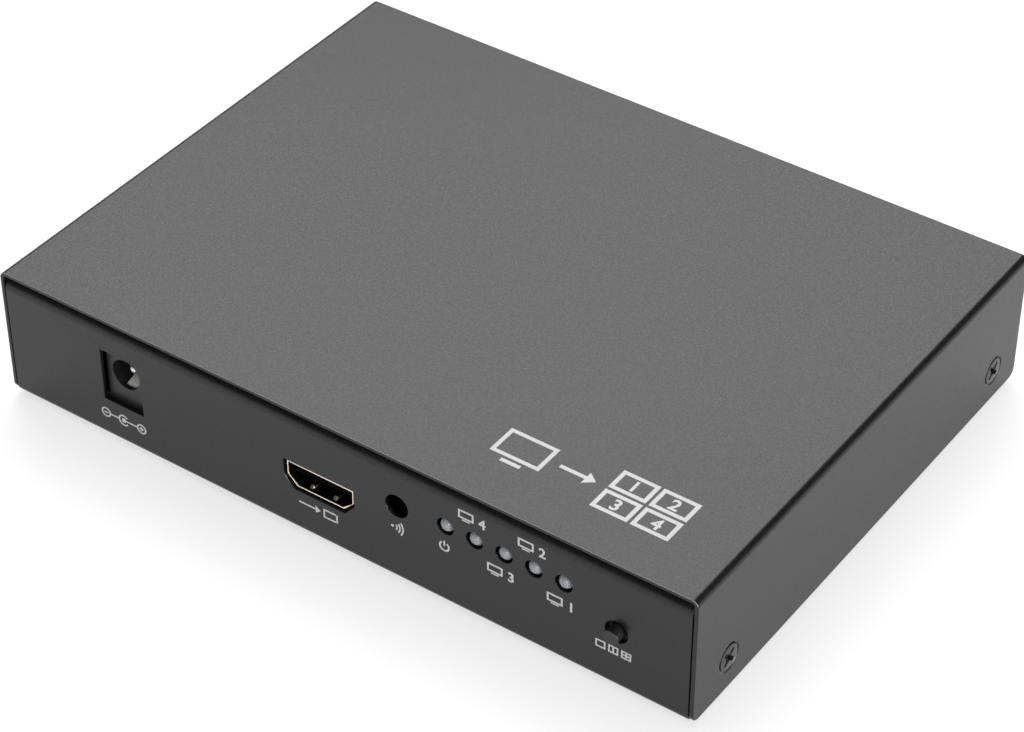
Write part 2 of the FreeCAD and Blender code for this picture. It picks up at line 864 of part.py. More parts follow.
def socket_shell(name):
    """Bent sheet shell with two latch springs in its floor and its roof."""
    body = new_body(name + "_shell")
    low = size.socket_lift
    wall = size.socket_wall
    section = sketch_on(body, "XZ_Plane", name + "_shell_section")
    outline(section, socket_profile(low, ZERO))
    outline(section, socket_profile(low, -wall))
    pad(body, section, size.socket_depth, name + "_shell_tube", backwards=True)
    floor = low + wall
    roof = low + size.socket_height - wall
    start = size.latch_setback
    crest_at = start + size.latch_crest
    finish = start + size.latch_length
    for side, across in (("left", -size.latch_offset), ("right", size.latch_offset)):
        for wall_name, level, inward in (("floor", floor, 1), ("roof", roof, -1)):
            latch = f"{name}_{side}_{wall_name}_latch"
            line = sketch_on(body, "YZ_Plane", latch + "_line")
            bind(line, "AttachmentOffset.Base.z", across - size.latch_width / 2)
            sunk = level - size.latch_sink * inward
            crest = level + size.latch_rise * inward
            outline(line, [(start, sunk), (crest_at, crest), (finish, sunk)])
            pad(body, line, size.latch_width, latch)
    half = size.socket_width / 2
    leg_top = low + size.socket_height - size.socket_side + size.socket_leg_overlap
    for side, low_x in (("left", -half), ("right", half - wall)):
        legs = sketch_on(body, "YZ_Plane", f"{name}_{side}_legs_outline")
        bind(legs, "AttachmentOffset.Base.z", low_x)
        for first in (size.socket_leg_back, size.socket_depth - size.socket_leg_length):
            outline(legs, rectangle(first, ZERO, first + size.socket_leg_length, leg_top))
        pad(body, legs, wall, f"{name}_{side}_legs")
    return body


def contact_row(body, name, row, count, low):
    """One row of bent contacts: blade on the tongue, drop, and foot on the board."""
    line = sketch_on(body, "YZ_Plane", f"{name}_{row}_contact_line")
    first = size.contact_pitch * ((1 - count) / 2)
    bind(line, "AttachmentOffset.Base.z", first - size.contact_width / 2)
    start = size.tongue_setback + size.contact_setback
    back = size.insulator_back
    thick = size.contact_thickness
    outline(line, [
        (start, low),
        (back - thick, low),
        (back - thick, ZERO),
        (back + size.contact_foot, ZERO),
        (back + size.contact_foot, thick),
        (back, thick),
        (back, low + thick),
        (start, low + thick),
    ])
    blade = pad(body, line, size.contact_width, f"{name}_{row}_contact")
    return pattern(body, [blade], "X_Axis", size.contact_pitch, count, f"{name}_{row}_contacts")


def socket_contacts(name):
    """Nineteen bent contacts, ten over the tongue and nine under it."""
    body = new_body(name + "_contacts")
    body.AllowCompound = True
    middle = size.socket_lift + size.socket_height / 2 + size.tongue_lift
    half = size.tongue_thickness / 2
    contact_row(body, name, "upper", UPPER_CONTACTS, middle + half)
    contact_row(body, name, "lower", LOWER_CONTACTS, middle - half - size.contact_thickness)
    return body


def socket_moulding(name):
    """Moulded block that closes the shell, with the tongue that carries the contacts."""
    body = new_body(name + "_moulding")
    low = size.socket_lift
    middle = low + size.socket_height / 2 + size.tongue_lift
    front = size.insulator_front
    plug = sketch_on(body, "XZ_Plane", name + "_plug_section")
    bind(plug, "AttachmentOffset.Base.z", -front)
    outline(plug, socket_profile(low, -(size.socket_wall + size.insulator_gap)))
    pad(body, plug, size.socket_depth - front, name + "_plug", backwards=True)
    half_bottom = size.socket_width / 2 - size.socket_inset
    rear = sketch_on(body, "XY_Plane", name + "_rear_plan")
    outline(rear, rectangle(-half_bottom, size.socket_depth, half_bottom, size.insulator_back))
    pad(body, rear, low + size.socket_height - size.socket_wall, name + "_rear")
    blade = sketch_on(body, "XZ_Plane", name + "_tongue_section")
    bind(blade, "AttachmentOffset.Base.z", -size.tongue_setback)
    half = size.tongue_thickness / 2
    half_tongue = size.tongue_width / 2
    outline(blade, rectangle(-half_tongue, middle - half, half_tongue, middle + half))
    pad(body, blade, size.socket_depth - size.tongue_setback, name + "_blade", backwards=True)
    return body


def remote_receiver():
    """Infrared receiver: black moulding with a round lens, on three leads."""
    x = size.sensor_across
    face = front_inner + size.sensor_setback
    lens = size.sensor_hole_radius - size.sensor_lens_gap
    tip = front_edge + size.sensor_lens_sink
    moulding = block("receiver_block", (x - size.sensor_width / 2, face, sensor_level - size.sensor_tall / 2),
                     (size.sensor_width, size.sensor_thickness, size.sensor_tall))
    ball = doc.addObject("Part::Sphere", "receiver_lens")
    bind(ball, "Radius", lens)
    place(ball, x, tip + lens, sensor_level)
    barrel = drum("receiver_barrel", (x, tip + lens, sensor_level), lens,
                  size.sensor_thickness / 2, ALONG_Y)
    keep(joined("remote_receiver", [moulding, ball, barrel]))
    leads = []
    back = face + size.sensor_thickness / 2
    lead_length = size.sensor_height - size.sensor_tall / 2
    for side, step in (("left", -1), ("middle", 0), ("right", 1)):
        leads.append(centred_block(f"receiver_lead_{side}", x + size.lead_pitch * step, back, board_top,
                                   (size.lead_width, size.lead_width, lead_length)))
    keep(grouped("remote_receiver_leads", leads))


def status_lights():
    """Five round status lights on bent leads, behind the front panel."""
    tip = front_edge - size.light_reach
    dome = tip + size.light_radius
    rear = tip + size.light_length
    for step, name in enumerate(LIGHT_NAMES):
        x = size.light_across + size.light_pitch * step
        ball = doc.addObject("Part::Sphere", name + "_dome")
        bind(ball, "Radius", size.light_radius)
        place(ball, x, dome, light_level)
        barrel = drum(name + "_barrel", (x, dome, light_level), size.light_radius, rear - dome, ALONG_Y)
        flange = drum(name + "_flange", (x, rear - size.light_flange_length, light_level),
                      size.light_flange_radius, size.light_flange_length, ALONG_Y)
        keep(joined(name, [ball, barrel, flange]))
    body = new_body("light_leads")
    body.AllowCompound = True
    half = size.lead_width / 2
    bend = rear + size.light_lead_run
    first_pair = []
    for side, step in PAIR:
        wire = sketch_on(body, "YZ_Plane", side + "_lead_line")
        bind(wire, "AttachmentOffset.Base.z", size.light_across + size.lead_pitch * step - half)
        outline(wire, [
            (rear, light_level - half),
            (bend - size.lead_width, light_level - half),
            (bend - size.lead_width, board_top),
            (bend, board_top),
            (bend, light_level + half),
            (rear, light_level + half),
        ])
        first_pair.append(pad(body, wire, size.lead_width, side + "_lead"))
    pattern(body, first_pair, "X_Axis", size.light_pitch, len(LIGHT_NAMES), "lead_pairs")
    keep(body)


def mode_button():
    """Side-pressed switch: body, snap dome, plunger, front plate and terminals."""
    x = size.button_across
    z = button_level
    plate_face = front_inner + size.switch_setback
    body_face = plate_face + size.switch_plate
    half = size.switch_width / 2
    well = size.button_flange_radius + size.button_fit
    flange_face = body_face + size.button_fit
    flange_back = flange_face + size.button_flange_thickness
    nib_end = flange_back + size.button_nib_length
    dome_top = nib_end + size.button_fit
    dome_rise = size.button_travel + size.dome_reserve
    well_floor = dome_top + dome_rise + size.dome_thickness
    shell = block("switch_block", (x - half, body_face, board_top),
                  (size.switch_width, size.switch_depth, size.switch_tall))
    hollow = drum("switch_well", (x, body_face, z), well, well_floor - body_face, ALONG_Y)
    keep(without("mode_switch_body", shell, [hollow]))

    tip = front_edge - size.button_reach
    stem = drum("button_stem", (x, tip, z), size.button_radius, flange_back - tip, ALONG_Y)
    flange = drum("button_flange", (x, flange_face, z), size.button_flange_radius,
                  size.button_flange_thickness, ALONG_Y)
    nib = drum("button_nib", (x, flange_face, z), size.button_nib_radius, nib_end - flange_face, ALONG_Y)
    keep(joined("mode_plunger", [stem, flange, nib]))

    outer = taper("dome_outer", (x, well_floor, z), size.dome_radius, size.button_nib_radius,
                  dome_rise + size.dome_thickness, ALONG_MINUS_Y)
    hollow = taper("dome_hollow", (x, well_floor, z), size.dome_radius - size.dome_thickness * 2,
                   size.button_nib_radius - size.dome_thickness, dome_rise, ALONG_MINUS_Y)
    keep(without("mode_switch_dome", outer, [hollow]))

    plate = block("plate_blank", (x - half, plate_face, board_top),
                  (size.switch_width, size.switch_plate, size.switch_tall))
    hole = drum("plate_hole", (x, plate_face, z), size.button_radius + size.switch_plate_bore_gap,
                size.switch_plate, ALONG_Y)
    keep(without("mode_switch_plate", plate, [hole]))

    back = body_face + size.switch_depth
    terminals = []
    for side, step in PAIR:
        low_x = x + size.terminal_spread * step - size.switch_leg_width / 2
        terminals.append(block(f"terminal_{side}", (low_x, back, board_top),
                               (size.switch_leg_width, size.switch_leg_width, size.lead_width)))
    keep(grouped("mode_switch_terminals", terminals))


def leaded_chip(label, across, back, side, other_side, thickness):
    """A moulded chip with its thin band of leads on the board."""
    reach = size.chip_lead_reach
    moulding = centred_block(label + "_moulding", across, back, board_top, (side, other_side, thickness))
    leads = centred_block(label + "_leads", across, back, board_top,
                          (side + reach * 2, other_side - reach * 2, size.chip_lead_thickness))
    return keep(joined(label, [moulding, leads]))


def processing():
    """Picture processor under its finned heatsink, and its two memories."""
    x = size.chip_across
    y = size.chip_back
    keep(centred_block("video_processor", x, y, board_top,
                       (size.chip_side, size.chip_side, size.chip_thickness)))
    pad_bottom = board_top + size.chip_thickness
    keep(centred_block("thermal_pad", x, y, pad_bottom, (size.pad_side, size.pad_side, size.pad_thickness)))
    body = new_body("processor_heatsink")
    half = size.sink_side / 2
    plan = sketch_on(body, "XY_Plane", "sink_plan")
    outline(plan, rectangle(-half, -half, half, half))
    pad(body, plan, size.sink_base, "sink_base_plate")
    fin_plan = sketch_on(body, "XY_Plane", "fin_plan")
    outline(fin_plan, rectangle(-half, -half, size.fin_thickness - half, half))
    fin = pad(body, fin_plan, size.sink_height, "first_fin")
    spacing = (size.sink_side - size.fin_thickness) / (FIN_COUNT - 1)
    pattern(body, [fin], "X_Axis", spacing, FIN_COUNT, "fins")
    keep(place(body, x, y, pad_bottom + size.pad_thickness))
    for number, (_, step) in enumerate(PAIR, start=1):
        back = y + size.memory_pitch * step
        keep(centred_block(f"memory_chip_{number}", size.memory_across, back, board_top,
                           (size.memory_length, size.memory_width, size.memory_thickness)))


def drivers():
    """One driver chip behind each output and one receiver chip behind the input."""
    for number, across in output_places():
        keep(centred_block(f"output_driver_{number}", across, board_back - size.driver_inset, board_top,
                           (size.driver_side, size.driver_side, size.driver_thickness)))
    leaded_chip("input_receiver", size.input_across, board_front + size.receiver_inset,
                size.receiver_side, size.receiver_side, size.receiver_thickness)


def control_and_power():
    """Controller, its crystal, and the supply: regulator, coils and capacitors."""
    leaded_chip("controller_chip", size.controller_across, size.controller_back,
                size.controller_side, size.controller_side, size.controller_thickness)
    crystal_at = size.controller_back + (size.controller_side + size.crystal_width) / 2 + size.crystal_gap
    keep(centred_block("crystal", size.controller_across, crystal_at, board_top,
                       (size.crystal_length, size.crystal_width, size.crystal_thickness)))
    leaded_chip("regulator_chip", size.regulator_across, size.regulator_back,
                size.regulator_length, size.regulator_width, size.regulator_thickness)
    for number in (1, 2):
        back = size.inductor_back + size.inductor_pitch * (number - 1)
        keep(centred_block(f"inductor_{number}", size.inductor_across, back, board_top,
                           (size.inductor_side, size.inductor_side, size.inductor_height)))
        back = size.capacitor_back + size.capacitor_pitch * (number - 1)
        foot = centred_block(f"capacitor_{number}_base", size.capacitor_across, back, board_top,
                             (size.capacitor_radius * 2, size.capacitor_radius * 2, size.capacitor_base))
        can = drum(f"capacitor_{number}_can", (size.capacitor_across, back, board_top),
                   size.capacitor_radius, size.capacitor_height)
        keep(joined(f"capacitor_{number}", [foot, can]))


def write_pieces():
    """Checks every object of the document, then writes each piece to its own file."""
    doc.recompute()
    for thing in doc.Objects:
        if "Invalid" in thing.State or "Error" in thing.State:
            raise ValueError(f"{thing.Label} failed: {thing.State}")
    for piece in kept:
        if piece.Shape.isNull() or not piece.Shape.isValid():
            raise ValueError(piece.Label + " has no valid shape")
        if not piece.Shape.Solids:
            raise ValueError(piece.Label + " has no solid")
    os.makedirs("parts", exist_ok=True)
    for piece in kept:
        piece.Shape.exportStep(f"parts/{piece.Label}.step")
        print(piece.Label, len(piece.Shape.Solids), round(piece.Shape.Volume, 2))


chassis_tray()
top_cover()
cover_screws()
feet()
board_mounting()
main_board()
power_jack()
picture_socket("input_socket", size.input_across, front_edge, facing_back=False)
for output_number, output_across in output_places():
    picture_socket(f"output_{output_number}_socket", output_across, back_edge, facing_back=True)
remote_receiver()
status_lights()
mode_button()
processing()
drivers()
control_and_power()
write_pieces()
print(len(kept), "pieces")
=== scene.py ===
"""Looks of a video wall controller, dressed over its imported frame.

Lengths are in metres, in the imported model's own frame: +X is to the right as the
front panel is seen, +Y is towards the back and +Z is up.
"""
import json
import logging
import math
from collections.abc import Iterable, Mapping, Sequence
from dataclasses import dataclass
from enum import Enum

import bmesh
import bpy
from mathutils import Euler, Matrix, Vector

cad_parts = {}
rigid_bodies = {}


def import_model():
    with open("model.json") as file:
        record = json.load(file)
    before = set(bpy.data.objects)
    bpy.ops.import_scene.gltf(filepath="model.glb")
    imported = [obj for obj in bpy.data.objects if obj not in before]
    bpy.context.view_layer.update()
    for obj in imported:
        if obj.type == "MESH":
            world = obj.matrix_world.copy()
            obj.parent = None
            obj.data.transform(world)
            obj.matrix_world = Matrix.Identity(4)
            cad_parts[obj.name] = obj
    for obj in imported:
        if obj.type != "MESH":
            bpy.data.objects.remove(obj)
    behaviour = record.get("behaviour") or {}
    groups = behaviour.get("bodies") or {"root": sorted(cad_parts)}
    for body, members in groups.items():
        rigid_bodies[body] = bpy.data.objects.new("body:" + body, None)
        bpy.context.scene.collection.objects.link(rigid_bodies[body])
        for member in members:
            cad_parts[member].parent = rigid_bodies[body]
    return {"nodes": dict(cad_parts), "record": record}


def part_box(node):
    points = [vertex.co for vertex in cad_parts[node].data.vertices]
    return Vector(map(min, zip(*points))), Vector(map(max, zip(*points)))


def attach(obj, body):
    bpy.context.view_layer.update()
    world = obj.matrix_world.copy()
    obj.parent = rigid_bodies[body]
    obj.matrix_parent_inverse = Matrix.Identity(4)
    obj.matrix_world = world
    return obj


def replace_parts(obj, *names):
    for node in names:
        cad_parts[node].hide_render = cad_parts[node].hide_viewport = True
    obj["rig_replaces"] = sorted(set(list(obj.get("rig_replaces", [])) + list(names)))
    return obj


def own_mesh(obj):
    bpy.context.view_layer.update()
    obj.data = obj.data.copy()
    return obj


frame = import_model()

Colour = Corner = tuple[float, float, float]
Pair = tuple[float, float]
Mesh = bpy.types.Mesh
Node = bpy.types.Node
Shape = bmesh.types.BMesh
Socket = bpy.types.NodeSocket

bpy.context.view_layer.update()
MM = 0.001
CASE_BODY = "case"
BUTTON_BODY = "mode_button"
# Name of the face layer that holds how much painted shade darkens the inside of a socket shell.
PAINTED_SHADE_LAYER = "depth"
SMOOTH_ANGLE = math.radians(32)
EASING_ANGLE = math.radians(40)
FLAT_ANGLE = math.radians(0.3)
SAME_POINT = 1e-7
WHITE = (1.0, 1.0, 1.0, 1.0)
DUST_GREY = (0.5, 0.5, 0.49, 1.0)
# Turns a drawing (u, v, w) so that u runs right, v up and w to the front.
FRONT_VIEW = Matrix.Rotation(math.radians(90), 4, "X")
# Turns a drawing (u, v, w) so that u runs back, v up and w to the right.
SIDE_VIEW = Matrix(((0, 0, 1, 0), (1, 0, 0, 0), (0, 1, 0, 0), (0, 0, 0, 1)))
LOG = logging.getLogger("video_wall_controller")


def placed(name: str, data: bpy.types.ID) -> bpy.types.Object:
    """Makes an object of a mesh, curve, lamp or camera and puts it into the scene."""
    thing = bpy.data.objects.new(name, data)
    bpy.context.scene.collection.objects.link(thing)
    return thing


class NodeDesk:
    """Adds nodes to one tree and links them."""

    def __init__(self, tree: bpy.types.NodeTree) -> None:
        """Starts on a tree."""
        self.tree = tree

    @classmethod
    def fresh(cls, owner: bpy.types.Material | bpy.types.World) -> "NodeDesk":
        """Empties the tree of a material or a world and starts on it."""
        owner.use_nodes = True
        owner.node_tree.nodes.clear()
        return cls(owner.node_tree)

    def add(self, kind: str, inputs: Mapping[str | int, object] | None = None, **settings: object) -> Node:
        """Adds one node.

        Args:
            kind: The node's type name.
            inputs: Values or output sockets by input name or number.
            settings: Properties of the node itself.

        Returns:
            The node.
        """
        node = self.tree.nodes.new(kind)
        for key, value in settings.items():
            setattr(node, key, value)
        for key, value in (inputs or {}).items():
            if isinstance(value, Socket):
                self.tree.links.new(value, node.inputs[key])
            else:
                node.inputs[key].default_value = value
        return node

    def sum(self, operation: str, first: object, second: object, clamp: bool = False) -> Socket:
        """Adds a two-number Math node and gives its result."""
        numbers = {0: first, 1: second}
        return self.add("ShaderNodeMath", numbers, operation=operation, use_clamp=clamp).outputs[0]

    def span(self, value: object, low: float, high: float, ends: Pair = (0.0, 1.0),
             **settings: object) -> Socket:
        """Stretches the values from low to high between two ends."""
        inputs = {"Value": value, "From Min": low, "From Max": high, "To Min": ends[0], "To Max": ends[1]}
        return self.add("ShaderNodeMapRange", inputs, **settings).outputs[0]

    def noise(self, place: object, scale: object, detail: float, **inputs: float) -> Socket:
        """Adds a cloudy noise and gives its value."""
        sockets = {"Vector": place, "Scale": scale, "Detail": detail}
        sockets.update({word.title(): value for word, value in inputs.items()})
        return self.add("ShaderNodeTexNoise", sockets).outputs["Fac"]

    def blend(self, factor: object, low: object, high: object) -> Socket:
        """Mixes two colours by a factor and gives the colour."""
        inputs = {"Factor": factor, 6: low, 7: high}
        return self.add("ShaderNodeMix", inputs, data_type="RGBA").outputs[2]


class SharedEffect(Enum):
    """Surface effects that several finishes use, each one shader node group."""

    GRAIN = "fine_grain"
    MOTTLE = "soft_mottle"
    EDGE = "worn_edge"
    DUST = "settled_dust"

    def group(self) -> bpy.types.NodeTree:
        """Gives the effect's node group, built the first time."""
        made = bpy.data.node_groups.get(self.value)
        if made is not None:
            return made
        tree = bpy.data.node_groups.new(self.value, "ShaderNodeTree")
        desk = NodeDesk(tree)
        inputs, outputs = EFFECT_SOCKETS[self]
        for name, kind, value in inputs:
            socket = tree.interface.new_socket(name, in_out="INPUT", socket_type=kind)
            if value is not None:
                socket.default_value = value
        for name in outputs:
            tree.interface.new_socket(name, in_out="OUTPUT", socket_type="NodeSocketFloat")
        desk.add("NodeGroupOutput", EFFECT_BUILDERS[self](desk, desk.add("NodeGroupInput")))
        return tree


def grain_nodes(desk: NodeDesk, entry: Node) -> dict[str, Socket]:
    """Builds the fine texture of powder coat and moulded plastic.

    Args:
        desk: The group's tree.
        entry: Its input node.

    Returns:
        The height and the tone of the grain.
    """
    smoothness, cloud_scale, cell_share, height_range = 0.7, 1.7, -0.6, (-0.05, 0.6)
    scale = desk.sum("DIVIDE", 1.0, entry.outputs["Size"])
    cells = desk.add("ShaderNodeTexVoronoi", {"Vector": entry.outputs["Vector"], "Scale": scale},
                     feature="SMOOTH_F1")
    cells.inputs["Smoothness"].default_value = smoothness
    cloud = desk.noise(entry.outputs["Vector"], desk.sum("MULTIPLY", scale, cloud_scale), 3.0, roughness=0.6)
    height = desk.sum("ADD", desk.sum("MULTIPLY", cells.outputs["Distance"], cell_share), cloud)
    return {"Height": height, "Tone": desk.span(height, *height_range)}


def mottle_nodes(desk: NodeDesk, entry: Node) -> dict[str, Socket]:
    """Builds slow, cloudy differences of tone over a surface."""
    cloud_range = (0.3, 0.7)
    scale = desk.sum("DIVIDE", 1.0, entry.outputs["Size"])
    cloud = desk.noise(entry.outputs["Vector"], scale, 4.0, roughness=0.55, distortion=0.4)
    return {"Tone": desk.span(cloud, *cloud_range)}


def edge_nodes(desk: NodeDesk, entry: Node) -> dict[str, Socket]:
    """Builds a mask of the sharp outer edges, where paint is thin and rubbed."""
    break_scale, least_wear = 900.0, 0.4
    rounded_off = desk.add("ShaderNodeBevel", {"Radius": entry.outputs["Radius"]}, samples=6)
    true = desk.add("ShaderNodeNewGeometry")
    dot = desk.add("ShaderNodeVectorMath", {0: rounded_off.outputs[0], 1: true.outputs["Normal"]},
                   operation="DOT_PRODUCT")
    turn = desk.sum("SUBTRACT", 1.0, dot.outputs["Value"])
    cloud = desk.noise(entry.outputs["Vector"], break_scale, 2.0)
    broken = desk.sum("MULTIPLY", turn, desk.sum("ADD", cloud, least_wear))
    return {"Mask": desk.sum("MULTIPLY", broken, entry.outputs["Gain"], clamp=True)}


def dust_nodes(desk: NodeDesk, entry: Node) -> dict[str, Socket]:
    """Builds a thin mask of dust on whatever faces up."""
    speck_scale, speck_range, upward_range = 1500.0, (0.45, 0.75), (0.3, 1.0)
    face = desk.add("ShaderNodeSeparateXYZ", {0: desk.add("ShaderNodeNewGeometry").outputs["Normal"]})
    specks = desk.noise(entry.outputs["Vector"], speck_scale, 5.0, roughness=0.8)
    upward = desk.span(face.outputs["Z"], *upward_range)
    spread = desk.sum("MULTIPLY", desk.span(specks, *speck_range), upward)
    return {"Mask": desk.sum("MULTIPLY", spread, entry.outputs["Amount"], clamp=True)}


VECTOR_INPUT = ("Vector", "NodeSocketVector", None)
EFFECT_SOCKETS = {
    SharedEffect.GRAIN: ([VECTOR_INPUT, ("Size", "NodeSocketFloat", 0.4 * MM)], ["Height", "Tone"]),
    SharedEffect.MOTTLE: ([VECTOR_INPUT, ("Size", "NodeSocketFloat", 30 * MM)], ["Tone"]),
    SharedEffect.EDGE: ([VECTOR_INPUT, ("Radius", "NodeSocketFloat", 0.2 * MM),
                         ("Gain", "NodeSocketFloat", 1.0)], ["Mask"]),
    SharedEffect.DUST: ([VECTOR_INPUT, ("Amount", "NodeSocketFloat", 0.1)], ["Mask"]),
}
EFFECT_BUILDERS = {
    SharedEffect.GRAIN: grain_nodes,
    SharedEffect.MOTTLE: mottle_nodes,
    SharedEffect.EDGE: edge_nodes,
    SharedEffect.DUST: dust_nodes,
}


@dataclass(frozen=True)
class Finish:
    """A finish: its colour, its gloss and how both vary over the surface.

    Attributes:
        name: The material's name.
        slot: The record's material slot.
        colour: Main colour, linear.
        roughness: Mean roughness.
        metallic: 1 for bare metal.
        grain_size: Width of one grain, in metres.
        grain_depth: Depth of the grain, in metres.
        tone_spread: Share by which the tone varies.
        edge_colour: Colour of rubbed edges.
        edge_gain: How strongly edges show.
        dust: How much dust lies on upper faces.
        coat: Weight of a clear gloss layer.
        coat_roughness: Roughness of that layer.
        specular: Specular level.
        mottle_size: Width of the slow differences of tone, in metres.
        grain_gloss: How much the grain varies the roughness.
        dust_matte: How much dust adds to the roughness.
    """

    name: str
    slot: str
    colour: Colour
    roughness: float
    metallic: float = 0.0
    grain_size: float = 0.4 * MM
    grain_depth: float = 0.004 * MM
    tone_spread: float = 0.06
    edge_colour: Colour = (0.3, 0.3, 0.3)
    edge_gain: float = 0.4
    dust: float = 0.0
    coat: float = 0.0
    coat_roughness: float = 0.1
    specular: float = 0.5
    mottle_size: float = 35 * MM
    grain_gloss: float = 0.12
    dust_matte: float = 0.3

    def material(self) -> bpy.types.Material:
        """Gives the finish's material, built the first time."""
        made = bpy.data.materials.get(self.name)
        if made is not None:
            return made
        made = bpy.data.materials.new(self.name)
        desk = NodeDesk.fresh(made)
        shader = desk.add("ShaderNodeBsdfPrincipled")
        shader.inputs["Metallic"].default_value = self.metallic
        shader.inputs["Coat Weight"].default_value = self.coat
        shader.inputs["Coat Roughness"].default_value = self.coat_roughness
        shader.inputs["Specular IOR Level"].default_value = self.specular
        self.dress(desk, shader, desk.add("ShaderNodeTexCoord").outputs["Object"])
        desk.add("ShaderNodeOutputMaterial", {"Surface": shader.outputs[0]})
        made.diffuse_color = (*self.colour, 1.0)
        return made

    def effect(self, desk: NodeDesk, kind: SharedEffect, place: Socket, **values: float) -> Node:
        """Places one shared effect, with this finish's own values."""
        return desk.add("ShaderNodeGroup", {"Vector": place, **values}, node_tree=kind.group())

    def shades(self, colour: Colour) -> tuple[list[float], list[float]]:
        """Gives a colour's darker and lighter shade."""
        dark, light = 1 - self.tone_spread, 1 + self.tone_spread
        return [*(channel * dark for channel in colour), 1.0], [*(channel * light for channel in colour), 1.0]

    def pattern(self, desk: NodeDesk, place: Socket) -> Socket:
        """Gives the colour of the surface before wear and dust."""
        mottle = self.effect(desk, SharedEffect.MOTTLE, place, Size=self.mottle_size)
        return desk.blend(mottle.outputs["Tone"], *self.shades(self.colour))

    def relief(self, desk: NodeDesk, place: Socket) -> Socket:
        """Gives the height of the surface, as a share of the grain's depth."""
        return self.effect(desk, SharedEffect.GRAIN, place, Size=self.grain_size).outputs["Height"]

    def dress(self, desk: NodeDesk, shader: Node, place: Socket) -> None:
        """Feeds colour, roughness and relief into the shader.

        Args:
            desk: The material's tree.
            shader: Its Principled shader.
            place: Object coordinates.
        """
        links = desk.tree.links
        grain = self.effect(desk, SharedEffect.GRAIN, place, Size=self.grain_size)
        speckle = desk.blend(grain.outputs["Tone"], *self.shades(WHITE[:3]))
        tone = desk.add("ShaderNodeMix", {"Factor": 1.0, 6: self.pattern(desk, place), 7: speckle},
                        data_type="RGBA", blend_type="MULTIPLY").outputs[2]
        edge = self.effect(desk, SharedEffect.EDGE, place, Gain=self.edge_gain)
        worn = desk.blend(edge.outputs["Mask"], tone, (*self.edge_colour, 1.0))
        dust = self.effect(desk, SharedEffect.DUST, place, Amount=self.dust)
        links.new(desk.blend(dust.outputs["Mask"], worn, DUST_GREY), shader.inputs["Base Color"])
        varied = desk.sum("MULTIPLY", grain.outputs["Tone"], self.grain_gloss)
        rough = desk.sum("ADD", varied, self.roughness - self.grain_gloss / 2, clamp=True)
        matte = desk.sum("MULTIPLY", dust.outputs["Mask"], self.dust_matte)
        links.new(desk.sum("ADD", rough, matte, clamp=True), shader.inputs["Roughness"])
        bump = desk.add("ShaderNodeBump", {"Height": self.relief(desk, place), "Strength": 1.0,
                                           "Distance": self.grain_depth})
        links.new(bump.outputs[0], shader.inputs["Normal"])


@dataclass(frozen=True)
class RubbedPaint(Finish):
    """Paint with a painted highlight along the upper cut edges of the front and the back.

    Attributes:
        rubbed_colour: Colour of the painted highlight where it is brightest.
        rubbed_gain: How fast the painted highlight gets there from a level face.
    """

    rubbed_colour: Colour = (0.24, 0.24, 0.24)
    rubbed_gain: float = 2.6

    def pattern(self, desk: NodeDesk, place: Socket) -> Socket:
        """Paints a highlight on the rounding between the top and the cut edge."""
        # Painted highlight: where the rounding slants up and to the front or back, the colour is lighter.
        face = desk.add("ShaderNodeSeparateXYZ", {0: desk.add("ShaderNodeNewGeometry").outputs["Normal"]})
        across = desk.sum("MULTIPLY", face.outputs["Y"], face.outputs["Y"])
        slant = desk.sum("MULTIPLY", across, face.outputs["Z"])
        mask = desk.sum("MULTIPLY", slant, self.rubbed_gain, clamp=True)
        return desk.blend(mask, super().pattern(desk, place), (*self.rubbed_colour, 1.0))


@dataclass(frozen=True)
class DrawnMetal(Finish):
    """Bare or plated metal with fine lines along one direction.

    Attributes:
        line_stretch: Scale of the grain along each axis.
    """

    metallic: float = 1.0
    line_stretch: Corner = (1.0, 0.06, 1.0)

    def relief(self, desk: NodeDesk, place: Socket) -> Socket:
        """Gives lines drawn out along the stretched axis."""
        drawn = desk.add("ShaderNodeMapping", {"Vector": place, "Scale": self.line_stretch})
        return self.effect(desk, SharedEffect.GRAIN, drawn.outputs[0], Size=self.grain_size).outputs["Height"]


@dataclass(frozen=True)
class SocketPlating(DrawnMetal):
    """Gold-toned plating with painted shade that darkens it deep inside a socket.

    Attributes:
        deep_colour: The painted shade's colour there.
    """

    deep_colour: Colour = (0.02, 0.016, 0.011)

    def pattern(self, desk: NodeDesk, place: Socket) -> Socket:
        """Blends towards the painted shade's colour by the mesh's own shade layer."""
        depth = desk.add("ShaderNodeAttribute", attribute_name=PAINTED_SHADE_LAYER)
        return desk.blend(depth.outputs["Fac"], super().pattern(desk, place), (*self.deep_colour, 1.0))


@dataclass(frozen=True)
class BoardLacquer(Finish):
    """Black solder mask over copper tracks.

    Attributes:
        track_colour: Colour over a track.
        track_pitch: Mean distance between tracks, in metres.
        track_edge: Shares of that distance over which a track fades out.
        track_stagger: How far the tracks are from an even grid.
    """

    track_colour: Colour = (0.03, 0.033, 0.031)
    track_pitch: float = 1.6 * MM
    track_edge: Pair = (0.12, 0.18)
    track_stagger: float = 0.35

    def pattern(self, desk: NodeDesk, place: Socket) -> Socket:
        """Gives black with lighter tracks that run square to each other."""
        inputs = {"Vector": place, "Scale": 1.0 / self.track_pitch, "Randomness": self.track_stagger}
        cells = desk.add("ShaderNodeTexVoronoi", inputs, distance="CHEBYCHEV", feature="DISTANCE_TO_EDGE")
        track = desk.span(cells.outputs["Distance"], *self.track_edge)
        return desk.blend(track, (*self.track_colour, 1.0), (*self.colour, 1.0))


